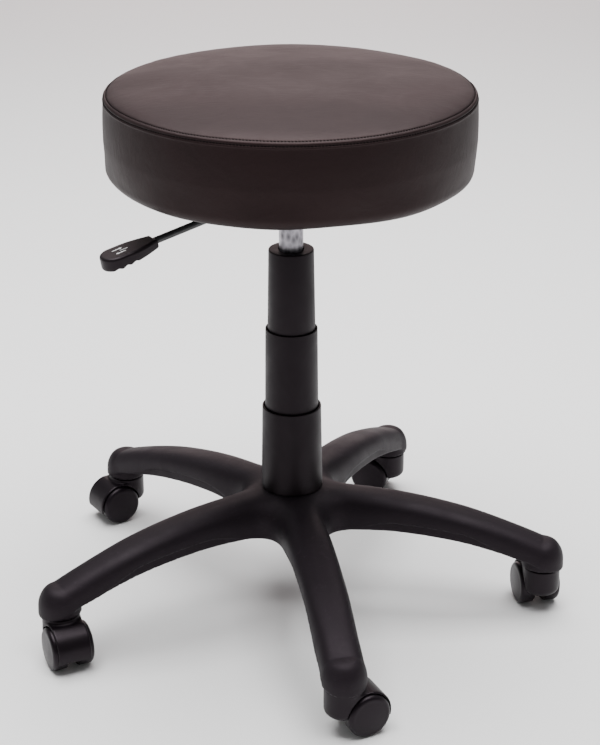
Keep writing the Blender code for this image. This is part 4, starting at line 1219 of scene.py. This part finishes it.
class STOOL_OT_castors(bpy.types.Operator):
    """Make the hoods and the wheels of the five castors"""
    bl_idname = "stool.castors"
    bl_label = "Castors"

    def execute(self, context):
        settings = context.scene.stool_castors
        low = np.array((-0.0245, -0.0240, 0.0095))
        high = np.array((0.0515, 0.0240, HOOD_TOP_Z + 0.0025))
        hood = field_surface("hood", hood_field(settings), low, high, settings.cell)
        hood_material = moulded("hood_nylon", settings.colour, 0.40, 0.30)
        wheel_material = moulded("wheel_nylon", tint(settings.colour, 1.15), 0.36, 0.30)
        wheel = self.wheel(settings)
        for index, name in enumerate(CASTORS):
            place = castor_place(index)
            copy = bpy.data.objects.new(f"castor_{name}_shell", hood.data.copy())
            context.scene.collection.objects.link(copy)
            move(copy, place)
            finish_piece(copy, f"castor_{name}", hood_material,
                         (f"castor_{name}_hood",), 60.0)
            for side, label in ((1, "left"), (-1, "right")):
                node = f"castor_{name}_wheel_{label}"
                copy = bpy.data.objects.new(f"castor_{name}_tread_{label}", wheel.data.copy())
                context.scene.collection.objects.link(copy)
                face = Matrix.Rotation(-side * math.pi / 2, 4, "X")
                move(copy, place @ Matrix.Translation((TRAIL, 0.0, WHEEL_R)) @ face)
                finish_piece(copy, node, wheel_material, (node,), 45.0)
        bpy.data.objects.remove(hood)
        bpy.data.objects.remove(wheel)
        return {"FINISHED"}

    def wheel(self, settings):
        """Turned wheel with its axle along Z: a domed face, a rounded rim and a flat
        inner side with the axle's bore."""
        outer, inner = 0.0250, settings.web / 2 + 0.0005
        bore, bore_end = 0.0033, 0.0195
        soft, dome = 0.0052, 0.0012
        r = WHEEL_R
        t = np.linspace(0.0, 1.0, 10)
        face = np.stack([t * (r - soft - 0.0010), outer + dome * (1 - t ** 2)], -1)
        turn = np.linspace(0.0, math.pi / 2, 9)
        edge = np.stack([r - soft * (1 - np.sin(turn)), outer - soft * (1 - np.cos(turn))], -1)
        back = [(r - 0.0003, inner + 0.001), (r - 0.0012, inner), (bore, inner),
                (bore, bore_end), (0.0, bore_end)]
        profile = np.concatenate([face, edge, back])
        points = turned_points(profile, 96)
        return add_mesh("wheel", points, grid_faces(len(profile), 96))


# ---------------------------------------------------------------- stage
class STOOL_OT_stage(bpy.types.Operator):
    """Make the floor, the lights and the camera"""
    bl_idname = "stool.stage"
    bl_label = "Stage"

    def execute(self, context):
        settings = context.scene.stool_stage
        far = 40.0
        corners = [(-far, -far, 0.0), (far, -far, 0.0), (far, far, 0.0), (-far, far, 0.0)]
        floor = add_mesh("floor", corners, np.array([[0, 1, 2, 3]]))
        finish = Finish("pale_floor", settings.floor, 0.9)
        cloud = finish.noise(0.6, 2.0)
        finish.paint(cloud, [(0.3, tint(settings.floor, 0.985)), (0.7, settings.floor)])
        floor.data.materials.append(finish.material)
        world = bpy.data.worlds.new("studio")
        world.use_nodes = True
        back = world.node_tree.nodes["Background"]
        back.inputs["Color"].default_value = (1.0, 1.0, 1.0, 1.0)
        back.inputs["Strength"].default_value = 0.22
        context.scene.world = world
        self.lamp("overhead", (0.0, 0.2, 3.2), (0.0, 0.0, 0.0), 3.2, 290.0)
        self.lamp("back_wall", (0.0, 4.2, 1.35), (0.0, 0.0, 0.5), 2.7, 40.0, (1.0, 0.78, 0.77))
        self.lamp("left_window", (-2.8, 0.5, 1.5), (0.0, 0.0, 0.4), 1.6, 7.0)
        self.lamp("right_window", (2.8, 0.3, 1.4), (0.0, 0.0, 0.35), 1.6, 4.5)
        self.camera(context, settings)
        return {"FINISHED"}

    def lamp(self, name, place, target, size, power, colour=(1.0, 1.0, 1.0)):
        """Square soft light that looks at a point."""
        data = bpy.data.lights.new(name, "AREA")
        data.size = size
        data.energy = power
        data.color = colour
        obj = bpy.data.objects.new(name, data)
        obj.location = place
        way = Vector(target) - Vector(place)
        obj.rotation_euler = way.to_track_quat("-Z", "Y").to_euler()
        bpy.context.scene.collection.objects.link(obj)

    def camera(self, context, settings):
        """Camera that looks down at the stool from the front."""
        data = bpy.data.cameras.new("camera")
        data.lens = settings.lens
        data.shift_x = -0.0039
        data.shift_y = -0.0007
        obj = bpy.data.objects.new("camera", data)
        turn = (Matrix.Rotation(settings.yaw, 4, "Z")
                @ Matrix.Rotation(math.pi / 2 - settings.pitch, 4, "X")
                @ Matrix.Rotation(settings.roll, 4, "Z"))
        obj.matrix_world = Matrix.Translation(settings.eye) @ turn
        context.scene.collection.objects.link(obj)
        context.scene.camera = obj


# ---------------------------------------------------------------- panel and start
SETTINGS = {
    "stool_cushion": CushionSettings, "stool_base": BaseSettings, "stool_covers": CoverSettings,
    "stool_lever": LeverSettings, "stool_castors": CastorSettings, "stool_stage": StageSettings,
}
OPERATORS = (STOOL_OT_stage, STOOL_OT_cushion, STOOL_OT_plate, STOOL_OT_lever, STOOL_OT_covers,
             STOOL_OT_lift, STOOL_OT_base, STOOL_OT_castors)


class STOOL_PT_panel(bpy.types.Panel):
    """Sidebar panel with the stool's settings and operators"""
    bl_idname = "STOOL_PT_panel"
    bl_label = "Stylist stool"
    bl_space_type = "VIEW_3D"
    bl_region_type = "UI"
    bl_category = "Stool"

    def draw(self, context):
        for key in SETTINGS:
            settings = getattr(context.scene, key)
            box = self.layout.box()
            for name in settings.__annotations__:
                box.prop(settings, name)
        for operator in OPERATORS:
            self.layout.operator(operator.bl_idname)


def register():
    """Register the classes and hang the settings on the scene."""
    for cls in (*SETTINGS.values(), *OPERATORS, STOOL_PT_panel):
        bpy.utils.register_class(cls)
    for key, cls in SETTINGS.items():
        setattr(bpy.types.Scene, key, PointerProperty(type=cls))


def unregister():
    """Undo register."""
    for key in SETTINGS:
        delattr(bpy.types.Scene, key)
    for cls in (STOOL_PT_panel, *reversed(OPERATORS), *reversed(SETTINGS.values())):
        bpy.utils.unregister_class(cls)


def main():
    """Build the stool's looks."""
    register()
    bpy.ops.stool.stage()
    bpy.ops.stool.cushion()
    bpy.ops.stool.plate()
    bpy.ops.stool.lever()
    bpy.ops.stool.covers()
    bpy.ops.stool.lift()
    bpy.ops.stool.base()
    bpy.ops.stool.castors()


if __name__ == "__main__":
    main()
